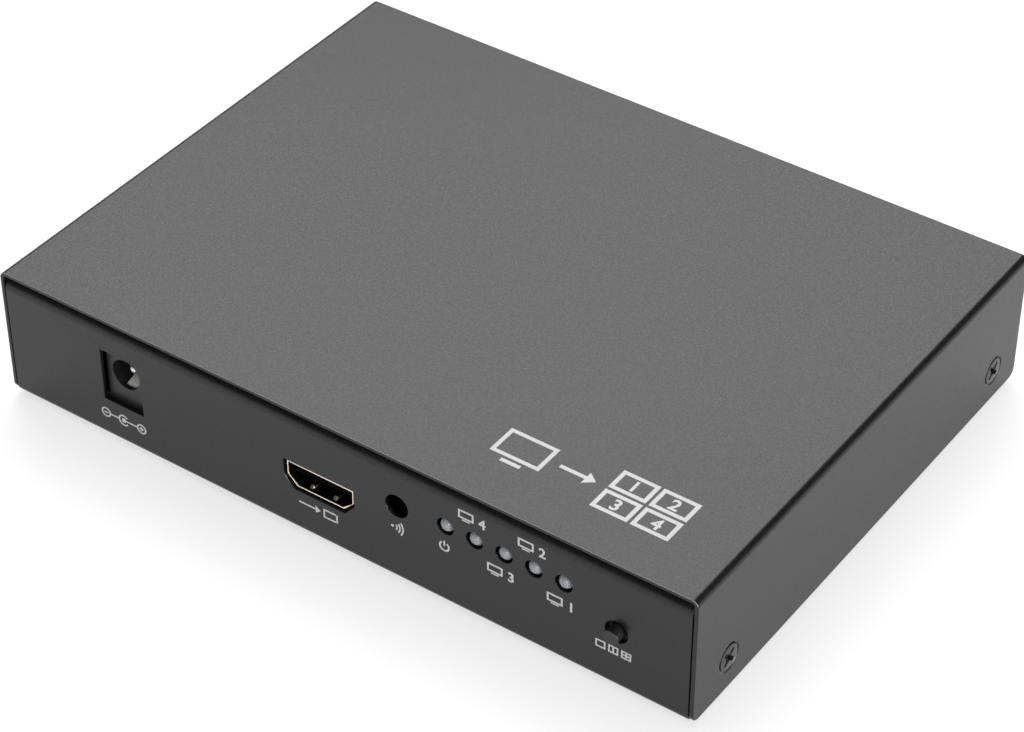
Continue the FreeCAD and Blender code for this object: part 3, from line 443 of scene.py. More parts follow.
@dataclass(frozen=True)
class ClearEpoxy(Finish):
    """Slightly milky clear epoxy, as of a light's lens.

    Attributes:
        transmission: Share of light that passes through.
        ior: Index of refraction.
    """

    transmission: float = 0.4
    ior: float = 1.5

    def dress(self, desk: NodeDesk, shader: Node, place: Socket) -> None:
        """Adds transmission to the plain dressing."""
        super().dress(desk, shader, place)
        shader.inputs["Transmission Weight"].default_value = self.transmission
        shader.inputs["IOR"].default_value = self.ior


PAINT_BLACK = (0.005, 0.005, 0.0054)
PAINT_COAT = {"grain_size": 0.42 * MM, "grain_depth": 0.01 * MM, "tone_spread": 0.05,
              "edge_colour": (0.14, 0.14, 0.14), "edge_gain": 0.12, "dust": 0.01}
CASE_PAINT = Finish("case_powder_coat", "case_paint", PAINT_BLACK, 0.31, specular=0.4, **PAINT_COAT)
# The cover's paint has a painted highlight on its upper front and back edges.
COVER_PAINT = RubbedPaint("cover_powder_coat", "case_paint", PAINT_BLACK, 0.34, specular=0.36, **PAINT_COAT)
SCREW_BLACK = Finish("screw_black_oxide", "black_screw", (0.014, 0.014, 0.015), 0.36, grain_size=0.3 * MM,
                     grain_depth=0.006 * MM, edge_colour=(0.12, 0.12, 0.12), edge_gain=0.15)
PLATE_BLACK = Finish("switch_plate_black", "black_plate", (0.012, 0.012, 0.012), 0.6, grain_size=0.3 * MM)
FOOT_RUBBER = Finish("foot_rubber_matte", "foot_rubber", (0.02, 0.02, 0.02), 0.85, grain_size=0.2 * MM,
                     grain_depth=0.012 * MM)
PLATED_STEEL = DrawnMetal("plated_steel_bright", "plated_steel", (0.62, 0.62, 0.6), 0.32,
                          grain_size=0.2 * MM, grain_depth=0.003 * MM)
BOARD_BLACK = BoardLacquer("board_solder_mask", "circuit_board", (0.012, 0.014, 0.013), 0.35,
                           grain_size=0.3 * MM, coat=0.3)
JACK_BLACK = Finish("jack_moulding_black", "jack_plastic", (0.012, 0.012, 0.013), 0.42, grain_size=0.25 * MM,
                    grain_depth=0.008 * MM, edge_gain=0.25, edge_colour=(0.12, 0.12, 0.12))
SPRING_PALE = DrawnMetal("jack_spring_satin", "bright_pin", (0.85, 0.84, 0.82), 0.5, metallic=0.35,
                         grain_size=0.3 * MM, grain_depth=0.03 * MM)
BRIGHT_PIN = DrawnMetal("jack_nickel_bright", "bright_pin", (0.78, 0.77, 0.74), 0.34,
                        grain_size=0.15 * MM, grain_depth=0.002 * MM)
# Gold plating, with painted shade deep inside each socket shell.
GOLD_SHELL = SocketPlating("socket_shell_gold", "gold_shell", (0.98, 0.87, 0.68), 0.42,
                           grain_size=0.2 * MM, grain_depth=0.002 * MM, edge_colour=(1.0, 0.93, 0.8),
                           edge_gain=1.0)
SOCKET_BLACK = Finish("socket_moulding_black", "socket_plastic", (0.004, 0.004, 0.004), 0.7,
                      grain_size=0.2 * MM, edge_gain=0.0, specular=0.0)
GOLD_CONTACT = DrawnMetal("contact_gold", "gold_contact", (0.85, 0.66, 0.36), 0.25,
                          grain_size=0.1 * MM, grain_depth=0.001 * MM)
SENSOR_GLOSS = Finish("sensor_dark_epoxy", "sensor_plastic", (0.004, 0.0035, 0.004), 0.22,
                      grain_size=0.5 * MM, grain_depth=0.001 * MM, edge_gain=0.0, coat=0.1,
                      coat_roughness=0.08)
TINNED_LEAD = DrawnMetal("lead_tinned", "tinned_lead", (0.7, 0.7, 0.7), 0.3,
                         grain_size=0.1 * MM, grain_depth=0.001 * MM)
CLEAR_LENS = ClearEpoxy("light_lens_clear", "clear_lens", (0.4, 0.425, 0.45), 0.08, tone_spread=0.02,
                        grain_size=0.8 * MM, grain_depth=0.001 * MM, edge_gain=0.0)
BUTTON_BLACK = Finish("button_moulding_black", "button_plastic", (0.01, 0.01, 0.0105), 0.42,
                      grain_size=0.2 * MM, grain_depth=0.006 * MM, edge_gain=0.2,
                      edge_colour=(0.12, 0.12, 0.12))
CHIP_BLACK = Finish("chip_moulding_black", "chip_plastic", (0.03, 0.03, 0.032), 0.55, grain_size=0.15 * MM,
                    grain_depth=0.006 * MM)
PAD_GREY = Finish("thermal_pad_silicone", "thermal_pad", (0.3, 0.38, 0.5), 0.8, grain_size=0.4 * MM)
SINK_BLACK = DrawnMetal("heatsink_anodised", "heatsink_alloy", (0.05, 0.05, 0.055), 0.4, metallic=0.6,
                        grain_size=0.3 * MM)
FERRITE_GREY = Finish("coil_ferrite", "ferrite", (0.09, 0.09, 0.1), 0.7, grain_size=0.3 * MM,
                      grain_depth=0.01 * MM)
CAN_METAL = DrawnMetal("capacitor_can_bare", "capacitor_can", (0.72, 0.72, 0.73), 0.28,
                       grain_size=0.2 * MM, grain_depth=0.002 * MM)
PRINT_GREY, PRINT_PALE = (
    Finish(name, "case_paint", (grey, grey, grey), 0.6, grain_size=0.3 * MM, edge_gain=0.0)
    for name, grey in (("legend_print_grey", 0.45), ("legend_print_pale", 0.56))
)

NODE_FINISHES: dict[str, Finish] = {
    finish.slot: finish
    for finish in (CASE_PAINT, SCREW_BLACK, FOOT_RUBBER, PLATE_BLACK, PLATED_STEEL, BOARD_BLACK, JACK_BLACK,
                   BRIGHT_PIN, GOLD_SHELL, SOCKET_BLACK, GOLD_CONTACT, SENSOR_GLOSS, TINNED_LEAD, CLEAR_LENS,
                   BUTTON_BLACK, CHIP_BLACK, PAD_GREY, SINK_BLACK, FERRITE_GREY, CAN_METAL)
}


class Bench:
    """Turns meshes into finished pieces and reports each of them."""

    @staticmethod
    def piece(name: str, mesh: Mesh, finish: Finish, replaces: Sequence[str] = (),
              body: str = CASE_BODY) -> bpy.types.Object:
        """Makes a mesh a piece of the model.

        Args:
            name: The piece's name.
            mesh: Its mesh, in place.
            finish: What it is finished with.
            replaces: CAD nodes that it stands for.
            body: The CAD body that it rides on.

        Returns:
            The piece's object.
        """
        mesh = Bench.shaded(mesh)
        mesh.name = name
        mesh.materials.clear()
        mesh.materials.append(finish.material())
        mesh.polygons.foreach_set("material_index", [0] * len(mesh.polygons))
        thing = placed(name, mesh)
        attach(thing, body)
        if replaces:
            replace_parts(thing, *replaces)
        LOG.info("%s: %d faces, finish %s", name, len(mesh.polygons), finish.name)
        return thing

    @staticmethod
    def dressed(name: str, node: str, finish: Finish, easing: float, segments: int = 2) -> bpy.types.Object:
        """Makes a CAD node's own shape a piece, with its sharp edges eased."""
        return Bench.piece(name, Bench.eased(Bench.node_copy(node), easing, segments), finish, [node])

    @staticmethod
    def shaded(mesh: Mesh) -> Mesh:
        """Smooths a mesh between its sharp edges, with its larger faces kept flat."""
        mesh.polygons.foreach_set("use_smooth", [True] * len(mesh.polygons))
        mesh.set_sharp_from_angle(angle=SMOOTH_ANGLE)
        holder = placed("shading", mesh)
        lean = holder.modifiers.new("lean", "WEIGHTED_NORMAL")
        lean.keep_sharp = True
        return Bench.evaluated(holder)

    @staticmethod
    def loose(mesh: Mesh) -> Shape:
        """Opens a mesh for editing."""
        shape = bmesh.new()
        shape.from_mesh(mesh)
        return shape

    @staticmethod
    def meshed(shape: Shape, name: str) -> Mesh:
        """Ends the editing of a shape and gives its mesh."""
        mesh = bpy.data.meshes.new(name)
        shape.to_mesh(mesh)
        shape.free()
        return mesh

    @staticmethod
    def closed(shape: Shape, name: str) -> Mesh:
        """Merges doubles, turns faces outwards and gives the mesh."""
        bmesh.ops.remove_doubles(shape, verts=shape.verts, dist=SAME_POINT)
        bmesh.ops.recalc_face_normals(shape, faces=shape.faces)
        return Bench.meshed(shape, name)

    @staticmethod
    def moved(shape: Shape, matrix: Matrix) -> Shape:
        """Moves a whole shape and gives it back."""
        bmesh.ops.transform(shape, matrix=matrix, verts=shape.verts)
        return shape

    @staticmethod
    def middle(node: str) -> Vector:
        """Gives the middle of a CAD node's box."""
        low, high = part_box(node)
        return Vector([(low[axis] + high[axis]) / 2 for axis in range(3)])

    @staticmethod
    def node_copy(node: str) -> Mesh:
        """Gives a CAD node's mesh, with its loose triangles merged into whole faces."""
        shape = Bench.loose(frame["nodes"][node].data)
        bmesh.ops.remove_doubles(shape, verts=shape.verts, dist=SAME_POINT * 2)
        bmesh.ops.dissolve_limit(shape, angle_limit=FLAT_ANGLE, verts=shape.verts, edges=shape.edges)
        return Bench.meshed(shape, node)

    @staticmethod
    def eased(mesh: Mesh, width: float, segments: int = 2) -> Mesh:
        """Rounds a mesh's sharp edges by a small width.

        Args:
            mesh: The mesh, left as it is.
            width: Width of the rounding, in metres.
            segments: Faces across it.

        Returns:
            A new mesh.
        """
        holder = placed("easing", mesh)
        bevel = holder.modifiers.new("ease", "BEVEL")
        bevel.width = width
        bevel.segments = segments
        bevel.limit_method = "ANGLE"
        bevel.angle_limit = EASING_ANGLE
        bevel.use_clamp_overlap = False
        bevel.miter_outer = "MITER_ARC"
        return Bench.evaluated(holder)

    @staticmethod
    def evaluated(holder: bpy.types.Object) -> Mesh:
        """Gives a plain mesh of a helper object with its modifiers, and removes the helper."""
        bpy.context.view_layer.update()
        graph = bpy.context.evaluated_depsgraph_get()
        mesh = bpy.data.meshes.new_from_object(holder.evaluated_get(graph), depsgraph=graph)
        holder.modifiers.clear()
        bpy.data.objects.remove(holder)
        return mesh

    @staticmethod
    def turned(profile: Sequence[Pair], steps: int = 48) -> Shape:
        """Turns a profile of (radius, height) about +Z.

        Args:
            profile: Points from one end to the other.
            steps: Faces round the axis.

        Returns:
            A closed shape, with both ends capped.
        """
        shape = bmesh.new()
        rings: list[list[bmesh.types.BMVert]] = []
        for radius, height in profile:
            if radius < SAME_POINT:
                rings.append([shape.verts.new((0.0, 0.0, height))])
                continue
            angles = [2 * math.pi * step / steps for step in range(steps)]
            rings.append([shape.verts.new((radius * math.cos(angle), radius * math.sin(angle), height))
                          for angle in angles])
        for low, high in zip(rings, rings[1:]):
            for step in range(steps):
                after = (step + 1) % steps
                corners = [low[step % len(low)], low[after % len(low)], high[after % len(high)],
                           high[step % len(high)]]
                unique = list(dict.fromkeys(corners))
                if len(unique) > 2:
                    shape.faces.new(unique)
        for end in (rings[0], rings[-1]):
            if len(end) > 2:
                shape.faces.new(end)
        return shape

    @staticmethod
    def prism(outline: Sequence[Pair], low: float, high: float) -> Shape:
        """Thickens a closed outline along Z, from low to high."""
        shape = bmesh.new()
        floor = [shape.verts.new((u, v, low)) for u, v in outline]
        roof = [shape.verts.new((u, v, high)) for u, v in outline]
        shape.faces.new(list(reversed(floor)))
        shape.faces.new(roof)
        for index in range(len(outline)):
            after = (index + 1) % len(outline)
            shape.faces.new((floor[index], floor[after], roof[after], roof[index]))
        return shape

    @staticmethod
    def joined(shapes: Iterable[Shape]) -> Shape:
        """Gathers several shapes into one and frees them."""
        whole = bmesh.new()
        for shape in shapes:
            part = Bench.meshed(shape, "part")
            whole.from_mesh(part)
            bpy.data.meshes.remove(part)
        return whole


def arc(radius: float, start: float, finish: float, steps: int, centre: Pair = (0.0, 0.0)) -> list[Pair]:
    """Gives points along an arc, angles in degrees."""
    points = []
    for step in range(steps + 1):
        angle = math.radians(start + (finish - start) * step / steps)
        points.append((centre[0] + radius * math.cos(angle), centre[1] + radius * math.sin(angle)))
    return points


def rounded(corners: Sequence[Corner], steps: int = 5) -> list[Pair]:
    """Rounds the corners of a closed outline.

    Args:
        corners: Points (u, v, radius), in order round the outline.
        steps: Straight pieces in each rounding.

    Returns:
        The points of the rounded outline.
    """
    points: list[Pair] = []
    total = len(corners)
    for index, (u, v, radius) in enumerate(corners):
        if radius <= 0:
            points.append((u, v))
            continue
        here = Vector((u, v))
        before = Vector(corners[index - 1][:2]) - here
        after = Vector(corners[(index + 1) % total][:2]) - here
        before.normalize()
        after.normalize()
        half = before.angle(after) / 2
        reach = radius / math.tan(half)
        centre = here + (before + after).normalized() * (radius / math.sin(half))
        first = here + before * reach - centre
        sweep = (here + after * reach - centre).angle_signed(first)
        for step in range(steps + 1):
            arm = Matrix.Rotation(sweep * step / steps, 2) @ first
            points.append((centre.x + arm.x, centre.y + arm.y))
    return points


class GeometryTree(NodeDesk):
    """A Geometry Nodes tree with named inputs, ended in plain geometry."""

    def __init__(self, name: str, sizes: Mapping[str, float | int]) -> None:
        """Makes the tree with a geometry input and one input for each size."""
        tree = bpy.data.node_groups.new(name, "GeometryNodeTree")
        super().__init__(tree)
        tree.interface.new_socket("Geometry", in_out="INPUT", socket_type="NodeSocketGeometry")
        self.identifiers: dict[str, str] = {}
        for word, value in sizes.items():
            kind = "NodeSocketInt" if isinstance(value, int) else "NodeSocketFloat"
            socket = tree.interface.new_socket(word, in_out="INPUT", socket_type=kind)
            socket.default_value = value
            self.identifiers[word] = socket.identifier
        slot = tree.interface.new_socket("Finish", in_out="INPUT", socket_type="NodeSocketMaterial")
        self.identifiers["Finish"] = slot.identifier
        tree.interface.new_socket("Geometry", in_out="OUTPUT", socket_type="NodeSocketGeometry")
        self.entry = self.add("NodeGroupInput")

    def end(self, geometry: Socket) -> None:
        """Ends the tree in Realize Instances and Set Material."""
        real = self.add("GeometryNodeRealizeInstances", {0: geometry})
        painted = self.add("GeometryNodeSetMaterial",
                           {"Geometry": real.outputs[0], "Material": self.entry.outputs["Finish"]})
        self.add("NodeGroupOutput", {0: painted.outputs[0]})

    def make(self, mesh: Mesh, finish: Finish, **values: float | int) -> Mesh:
        """Runs the tree on a mesh.

        Args:
            mesh: What the tree starts from.
            finish: The finish that it sets.
            values: Sizes by input name, with _ for a space.

        Returns:
            A plain mesh.
        """
        holder = placed("repeating", mesh)
        modifier = holder.modifiers.new("repeat", "NODES")
        modifier.node_group = self.tree
        modifier[self.identifiers["Finish"]] = finish.material()
        for word, value in values.items():
            modifier[self.identifiers[word.replace("_", " ")]] = value
        return Bench.evaluated(holder)


class EvenRow(GeometryTree):
    """Copies of one shape, evenly spaced along X from where it stands."""

    def __init__(self) -> None:
        """Builds the tree."""
        super().__init__("even_row", {"Count": 4, "Pitch": 1.0 * MM})
        step = self.add("ShaderNodeCombineXYZ", {0: self.entry.outputs["Pitch"]})
        line = self.add("GeometryNodeMeshLine", {"Count": self.entry.outputs["Count"],
                                                 "Offset": step.outputs[0]}, mode="OFFSET")
        row = self.add("GeometryNodeInstanceOnPoints", {"Points": line.outputs[0],
                                                        "Instance": self.entry.outputs["Geometry"]})
        self.end(row.outputs[0])


class CrossScrewSet(GeometryTree):
    """Screws with a slanting cross recess, at four places of a box's two sides.

    Attributes:
        arm_turns: Slants of the recess's two arms, in degrees.
        pit_steps: Faces round the pit in the recess's middle.
        pit_tip: Radius of that pit's bottom.
        pit_share: Radius of its mouth, as a share of an arm's width.
        pit_rise: How far its mouth stands out of the face.
    """

    arm_turns: Pair = (45, 135)
    pit_steps: int = 24
    pit_tip: float = 0.3 * MM
    pit_share: float = 1.35
    pit_rise: float = 0.03 * MM

    def __init__(self) -> None:
        """Builds the tree. It starts from one blank whose face is at X = 0."""
        super().__init__("cross_screw_set", {
            "Span": 3.7 * MM, "Slot": 0.78 * MM, "Depth": 1.0 * MM, "Side": 75 * MM,
            "Front": -44 * MM, "Spacing": 90 * MM, "Level": 7 * MM,
        })
        seat = self.entry.outputs
        deep = self.sum("MULTIPLY", seat["Depth"], 2.0)
        size = self.add("ShaderNodeCombineXYZ", {0: deep, 1: seat["Span"], 2: seat["Slot"]})
        arm = self.add("GeometryNodeMeshCube", {"Size": size.outputs[0]})
        tools = [self.aslant(arm, (math.radians(turn), 0.0, 0.0)) for turn in self.arm_turns]
        pit = self.add("GeometryNodeMeshCone", {
            "Vertices": self.pit_steps, "Radius Top": self.pit_tip, "Depth": seat["Depth"],
            "Radius Bottom": self.sum("MULTIPLY", seat["Slot"], self.pit_share),
        })
        tools.append(self.aslant(pit, (0.0, math.radians(-90), 0.0), (self.pit_rise, 0.0, 0.0)))
        blank = seat["Geometry"]
        for tool in tools:
            blank = self.add("GeometryNodeMeshBoolean", {"Mesh 1": blank, "Mesh 2": tool},
                             operation="DIFFERENCE", solver="EXACT").outputs[0]
        sides = self.add("GeometryNodeJoinGeometry")
        step = self.add("ShaderNodeCombineXYZ", {1: seat["Spacing"]})
        for outward, turn in ((1.0, 0.0), (-1.0, math.pi)):
            start = self.add("ShaderNodeCombineXYZ", {0: self.sum("MULTIPLY", seat["Side"], outward),
                                                      1: seat["Front"], 2: seat["Level"]})
            line = self.add("GeometryNodeMeshLine", {"Count": 2, "Start Location": start.outputs[0],
                                                     "Offset": step.outputs[0]}, mode="OFFSET")
            pair = self.add("GeometryNodeInstanceOnPoints", {"Points": line.outputs[0], "Instance": blank,
                                                             "Rotation": (0.0, 0.0, turn)})
            self.tree.links.new(pair.outputs[0], sides.inputs[0])
        self.end(sides.outputs[0])

    def aslant(self, tool: Node, turn: Corner, shift: Corner = (0.0, 0.0, 0.0)) -> Socket:
        """Turns and shifts a cutting tool."""
        inputs = {"Geometry": tool.outputs[0], "Rotation": turn, "Translation": shift}
        return self.add("GeometryNodeTransform", inputs).outputs[0]


@dataclass
class SteelCase:
    """Bent tray, bent cover, the screws between them and the feet.

    Attributes:
        cover_easing: Rounding of the cover's cut edges.
        tray_easing: Rounding of the tray's cut edges.
        head_radius: Radius of a screw's head.
        shank_radius: Radius of a screw's shank.
        head_rim: Bevel of a screw's head.
        rim_share: How far that bevel's middle point lies from its ends.
        head_land: Straight rim of a screw's head.
        screw_length: Whole length of a screw.
        screw_tip: Bevel of a screw's end.
        foot_easing: Rounding of a foot's lower rim.
        foot_taper: How much smaller a foot's radius is at the bottom.
        foot_dish: Dish below a foot, as (share of its radius, height).
        steps: Faces round a screw or a foot.
    """

    cover_easing: float = 0.16 * MM
    tray_easing: float = 0.12 * MM
    head_radius: float = 2.56 * MM
    shank_radius: float = 1.5 * MM
    head_rim: float = 0.1 * MM
    rim_share: float = 0.3
    head_land: float = 0.27 * MM
    screw_length: float = 4.5 * MM
    screw_tip: float = 0.3 * MM
    foot_easing: float = 0.35 * MM
    foot_taper: float = 0.6 * MM
    foot_dish: tuple[Pair, ...] = ((0.0, 0.18 * MM), (0.55, 0.15 * MM), (0.72, 0.0))
    steps: int = 40

    def build(self) -> None:
        """Builds every piece of the case."""
        Bench.dressed("cover_painted", "top_cover", COVER_PAINT, self.cover_easing, 3)
        Bench.dressed("tray_painted", "chassis_tray", CASE_PAINT, self.tray_easing)
        self.screws()
        for end in ("front", "back"):
            for side in ("left", "right"):
                self.foot(f"foot_{end}_{side}")

    def screws(self) -> None:
        """Builds the four countersunk screws."""
        low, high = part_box("cover_screws")
        head, shank, length = self.head_radius, self.shank_radius, self.screw_length
        rim, inset = self.head_rim, self.head_rim * self.rim_share
        profile = [
            (0.0, 0.0), (head - rim, 0.0), (head - inset, -inset), (head, -rim), (head, -self.head_land),
            (shank, -self.head_land - (head - shank)), (shank, self.screw_tip - length),
            (shank - self.screw_tip, -length), (0.0, -length),
        ]
        shape = Bench.moved(Bench.turned(profile, self.steps), Matrix.Rotation(math.radians(90), 4, "Y"))
        whole_radius = (high.z - low.z) / 2
        mesh = CrossScrewSet().make(
            Bench.closed(shape, "screw_blank"), SCREW_BLACK, Side=high.x, Front=low.y + whole_radius,
            Spacing=high.y - low.y - 2 * whole_radius, Level=low.z + whole_radius,
        )
        Bench.piece("cover_screws_black", mesh, SCREW_BLACK, ["cover_screws"])

    def foot(self, node: str) -> None:
        """Builds one rubber foot with a rounded rim and a shallow dish below."""
        low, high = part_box(node)
        middle = Bench.middle(node)
        radius = (high.x - low.x) / 2
        height = high.z - low.z
        ease = self.foot_easing
        bottom = radius - self.foot_taper
        profile = [(bottom * share, rise) for share, rise in self.foot_dish]
        profile += [(bottom - ease + u, ease + v) for u, v in arc(ease, -90, -10, 5)]
        profile += [(radius, height), (0.0, height)]
        place = Matrix.Translation((middle.x, middle.y, low.z))
        shape = Bench.moved(Bench.turned(profile, self.steps), place)
        Bench.piece(node + "_rubber", Bench.closed(shape, node), FOOT_RUBBER, [node])


@dataclass
class PowerJack:
    """Barrel jack: moulding, centre pin, sleeve spring and switch leaf.

    Attributes:
        moulding_easing: Rounding of the moulding's edges.
        spring_easing: Rounding of the pin's and the springs' edges.
    """

    moulding_easing: float = 0.15 * MM
    spring_easing: float = 0.05 * MM

    def build(self) -> None:
        """Builds every piece of the jack."""
        Bench.dressed("jack_moulding", "dc_jack_housing", JACK_BLACK, self.moulding_easing)
        Bench.dressed("jack_pin", "dc_jack_pin", BRIGHT_PIN, self.spring_easing)
        Bench.dressed("jack_spring", "dc_jack_spring", SPRING_PALE, self.spring_easing)
        Bench.dressed("jack_leaf", "dc_jack_switch_leaf", PLATED_STEEL, self.spring_easing)


@dataclass
class PictureSocket:
    """One picture socket: plated shell, tongue and nineteen contacts.

    Attributes:
        name: The socket's name in the frame.
        row: The tree that repeats contacts.
        facing_back: Whether its mouth is in the back panel.
        easing: Rounding of the shell's edges.
        tongue_easing: Rounding of the tongue's edges.
        wall: Thickness of the shell.
        shell_height: Height of the shell without its legs.
        slant: Width and height of the shell's slanting corners.
        lit_depth: How far in the shell stays free of painted shade.
        side_walls: How far a face inside lies from the side, in walls.
        latch_walls: How far a latch spring lies off the wall, in walls.
        latch_offset: Distance of a latch spring from the middle.
        latch_half: Half the width of a latch spring.
        latch_length: How far in a latch spring reaches.
        contact_pitch: Distance between contacts.
        contact_size: Width and thickness of a contact.
        contact_bends: Inner and outer radius of a contact's bends.
        contact_foot: Length of a contact's foot.
        tongue_thickness: Thickness of the tongue between the rows.
        upper_count: Contacts over the tongue.
        lower_count: Contacts under it.
    """

    name: str
    row: EvenRow
    facing_back: bool
    easing: float = 0.12 * MM
    tongue_easing: float = 0.03 * MM
    wall: float = 0.3 * MM
    shell_height: float = 5.15 * MM
    slant: float = 2.1 * MM
    lit_depth: float = 0.55 * MM
    side_walls: float = 0.7
    latch_walls: float = 1.15
    latch_offset: float = 2.55 * MM
    latch_half: float = 0.5 * MM
    latch_length: float = 2.0 * MM
    contact_pitch: float = 1.0 * MM
    contact_size: Pair = (0.34 * MM, 0.14 * MM)
    contact_bends: Pair = (0.1 * MM, 0.24 * MM)
    contact_foot: float = 1.3 * MM
    tongue_thickness: float = 1.5 * MM
    upper_count: int = 10
    lower_count: int = 9

    def build(self) -> None:
        """Builds the three pieces of the socket."""
        shell = self.name + "_shell"
        plated = Bench.eased(Bench.node_copy(shell), self.easing)
        # Painted shade: faces deep inside the shell get a darker colour.
        self.mark_depth(plated)
        Bench.piece(shell + "_plated", plated, GOLD_SHELL, [shell])
        tongue = self.name + "_tongue"
        Bench.dressed(tongue + "_moulded", tongue, SOCKET_BLACK, self.tongue_easing, 1)
        self.contacts()

    def mark_depth(self, mesh: Mesh) -> None:
        """Writes the painted shade's share on each face of the shell, from 0 outside, at the mouth and on the
        latch springs, to 1 deep inside.
        """
        low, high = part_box(self.name + "_shell")
        wall, tall = self.wall, self.shell_height
        layer = mesh.attributes.new(PAINTED_SHADE_LAYER, "FLOAT", "FACE")
        values = []
        for face in mesh.polygons:
            depth = high.y - face.center.y if self.facing_back else face.center.y - low.y
            across = abs(face.center.x - (low.x + high.x) / 2)
            rise = face.center.z - (high.z - tall)
            half = (high.x - low.x) / 2 - max(0.0, self.slant - rise)
            inside = wall / 2 < rise < tall - wall / 2 and across < half - wall * self.side_walls
            latch = abs(across - self.latch_offset) < self.latch_half and depth < self.latch_length
            latch = latch and min(rise, tall - rise) > wall * self.latch_walls
            share = (depth - self.lit_depth) / self.lit_depth
            values.append(min(1.0, max(0.0, share)) if inside and not latch else 0.0)
        layer.data.foreach_set("value", values)

    def contacts(self) -> None:
        """Builds both rows of contacts from one bent blade each."""
        node = self.name + "_contacts"
        low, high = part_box(node)
        length = high.y - low.y
        height = high.z - low.z
        back = length - self.contact_foot
        width, thick = self.contact_size
        inner, outer = self.contact_bends
        rows = []
        lower = height - thick - self.tongue_thickness
        for count, top in ((self.upper_count, height), (self.lower_count, lower)):
            outline = rounded([
                (0.0, top - thick, 0.0), (back - thick, top - thick, inner), (back - thick, 0.0, outer),
                (length, 0.0, 0.0), (length, thick, 0.0), (back, thick, inner), (back, top, outer),
                (0.0, top, 0.0),
            ], 3)
            start = Matrix.Translation(((1 - count) / 2 * self.contact_pitch, 0.0, 0.0))
            blade = Bench.moved(Bench.prism(outline, -width / 2, width / 2), start @ SIDE_VIEW)
            rows.append(Bench.loose(self.row.make(Bench.closed(blade, "blade"), GOLD_CONTACT, Count=count,
                                                  Pitch=self.contact_pitch)))
        place = Matrix.Translation(((low.x + high.x) / 2, high.y if self.facing_back else low.y, low.z))
        turn = Matrix.Rotation(math.pi if self.facing_back else 0.0, 4, "Z")
        whole = Bench.moved(Bench.joined(rows), place @ turn)
        Bench.piece(node + "_plated", Bench.closed(whole, node), GOLD_CONTACT, [node])


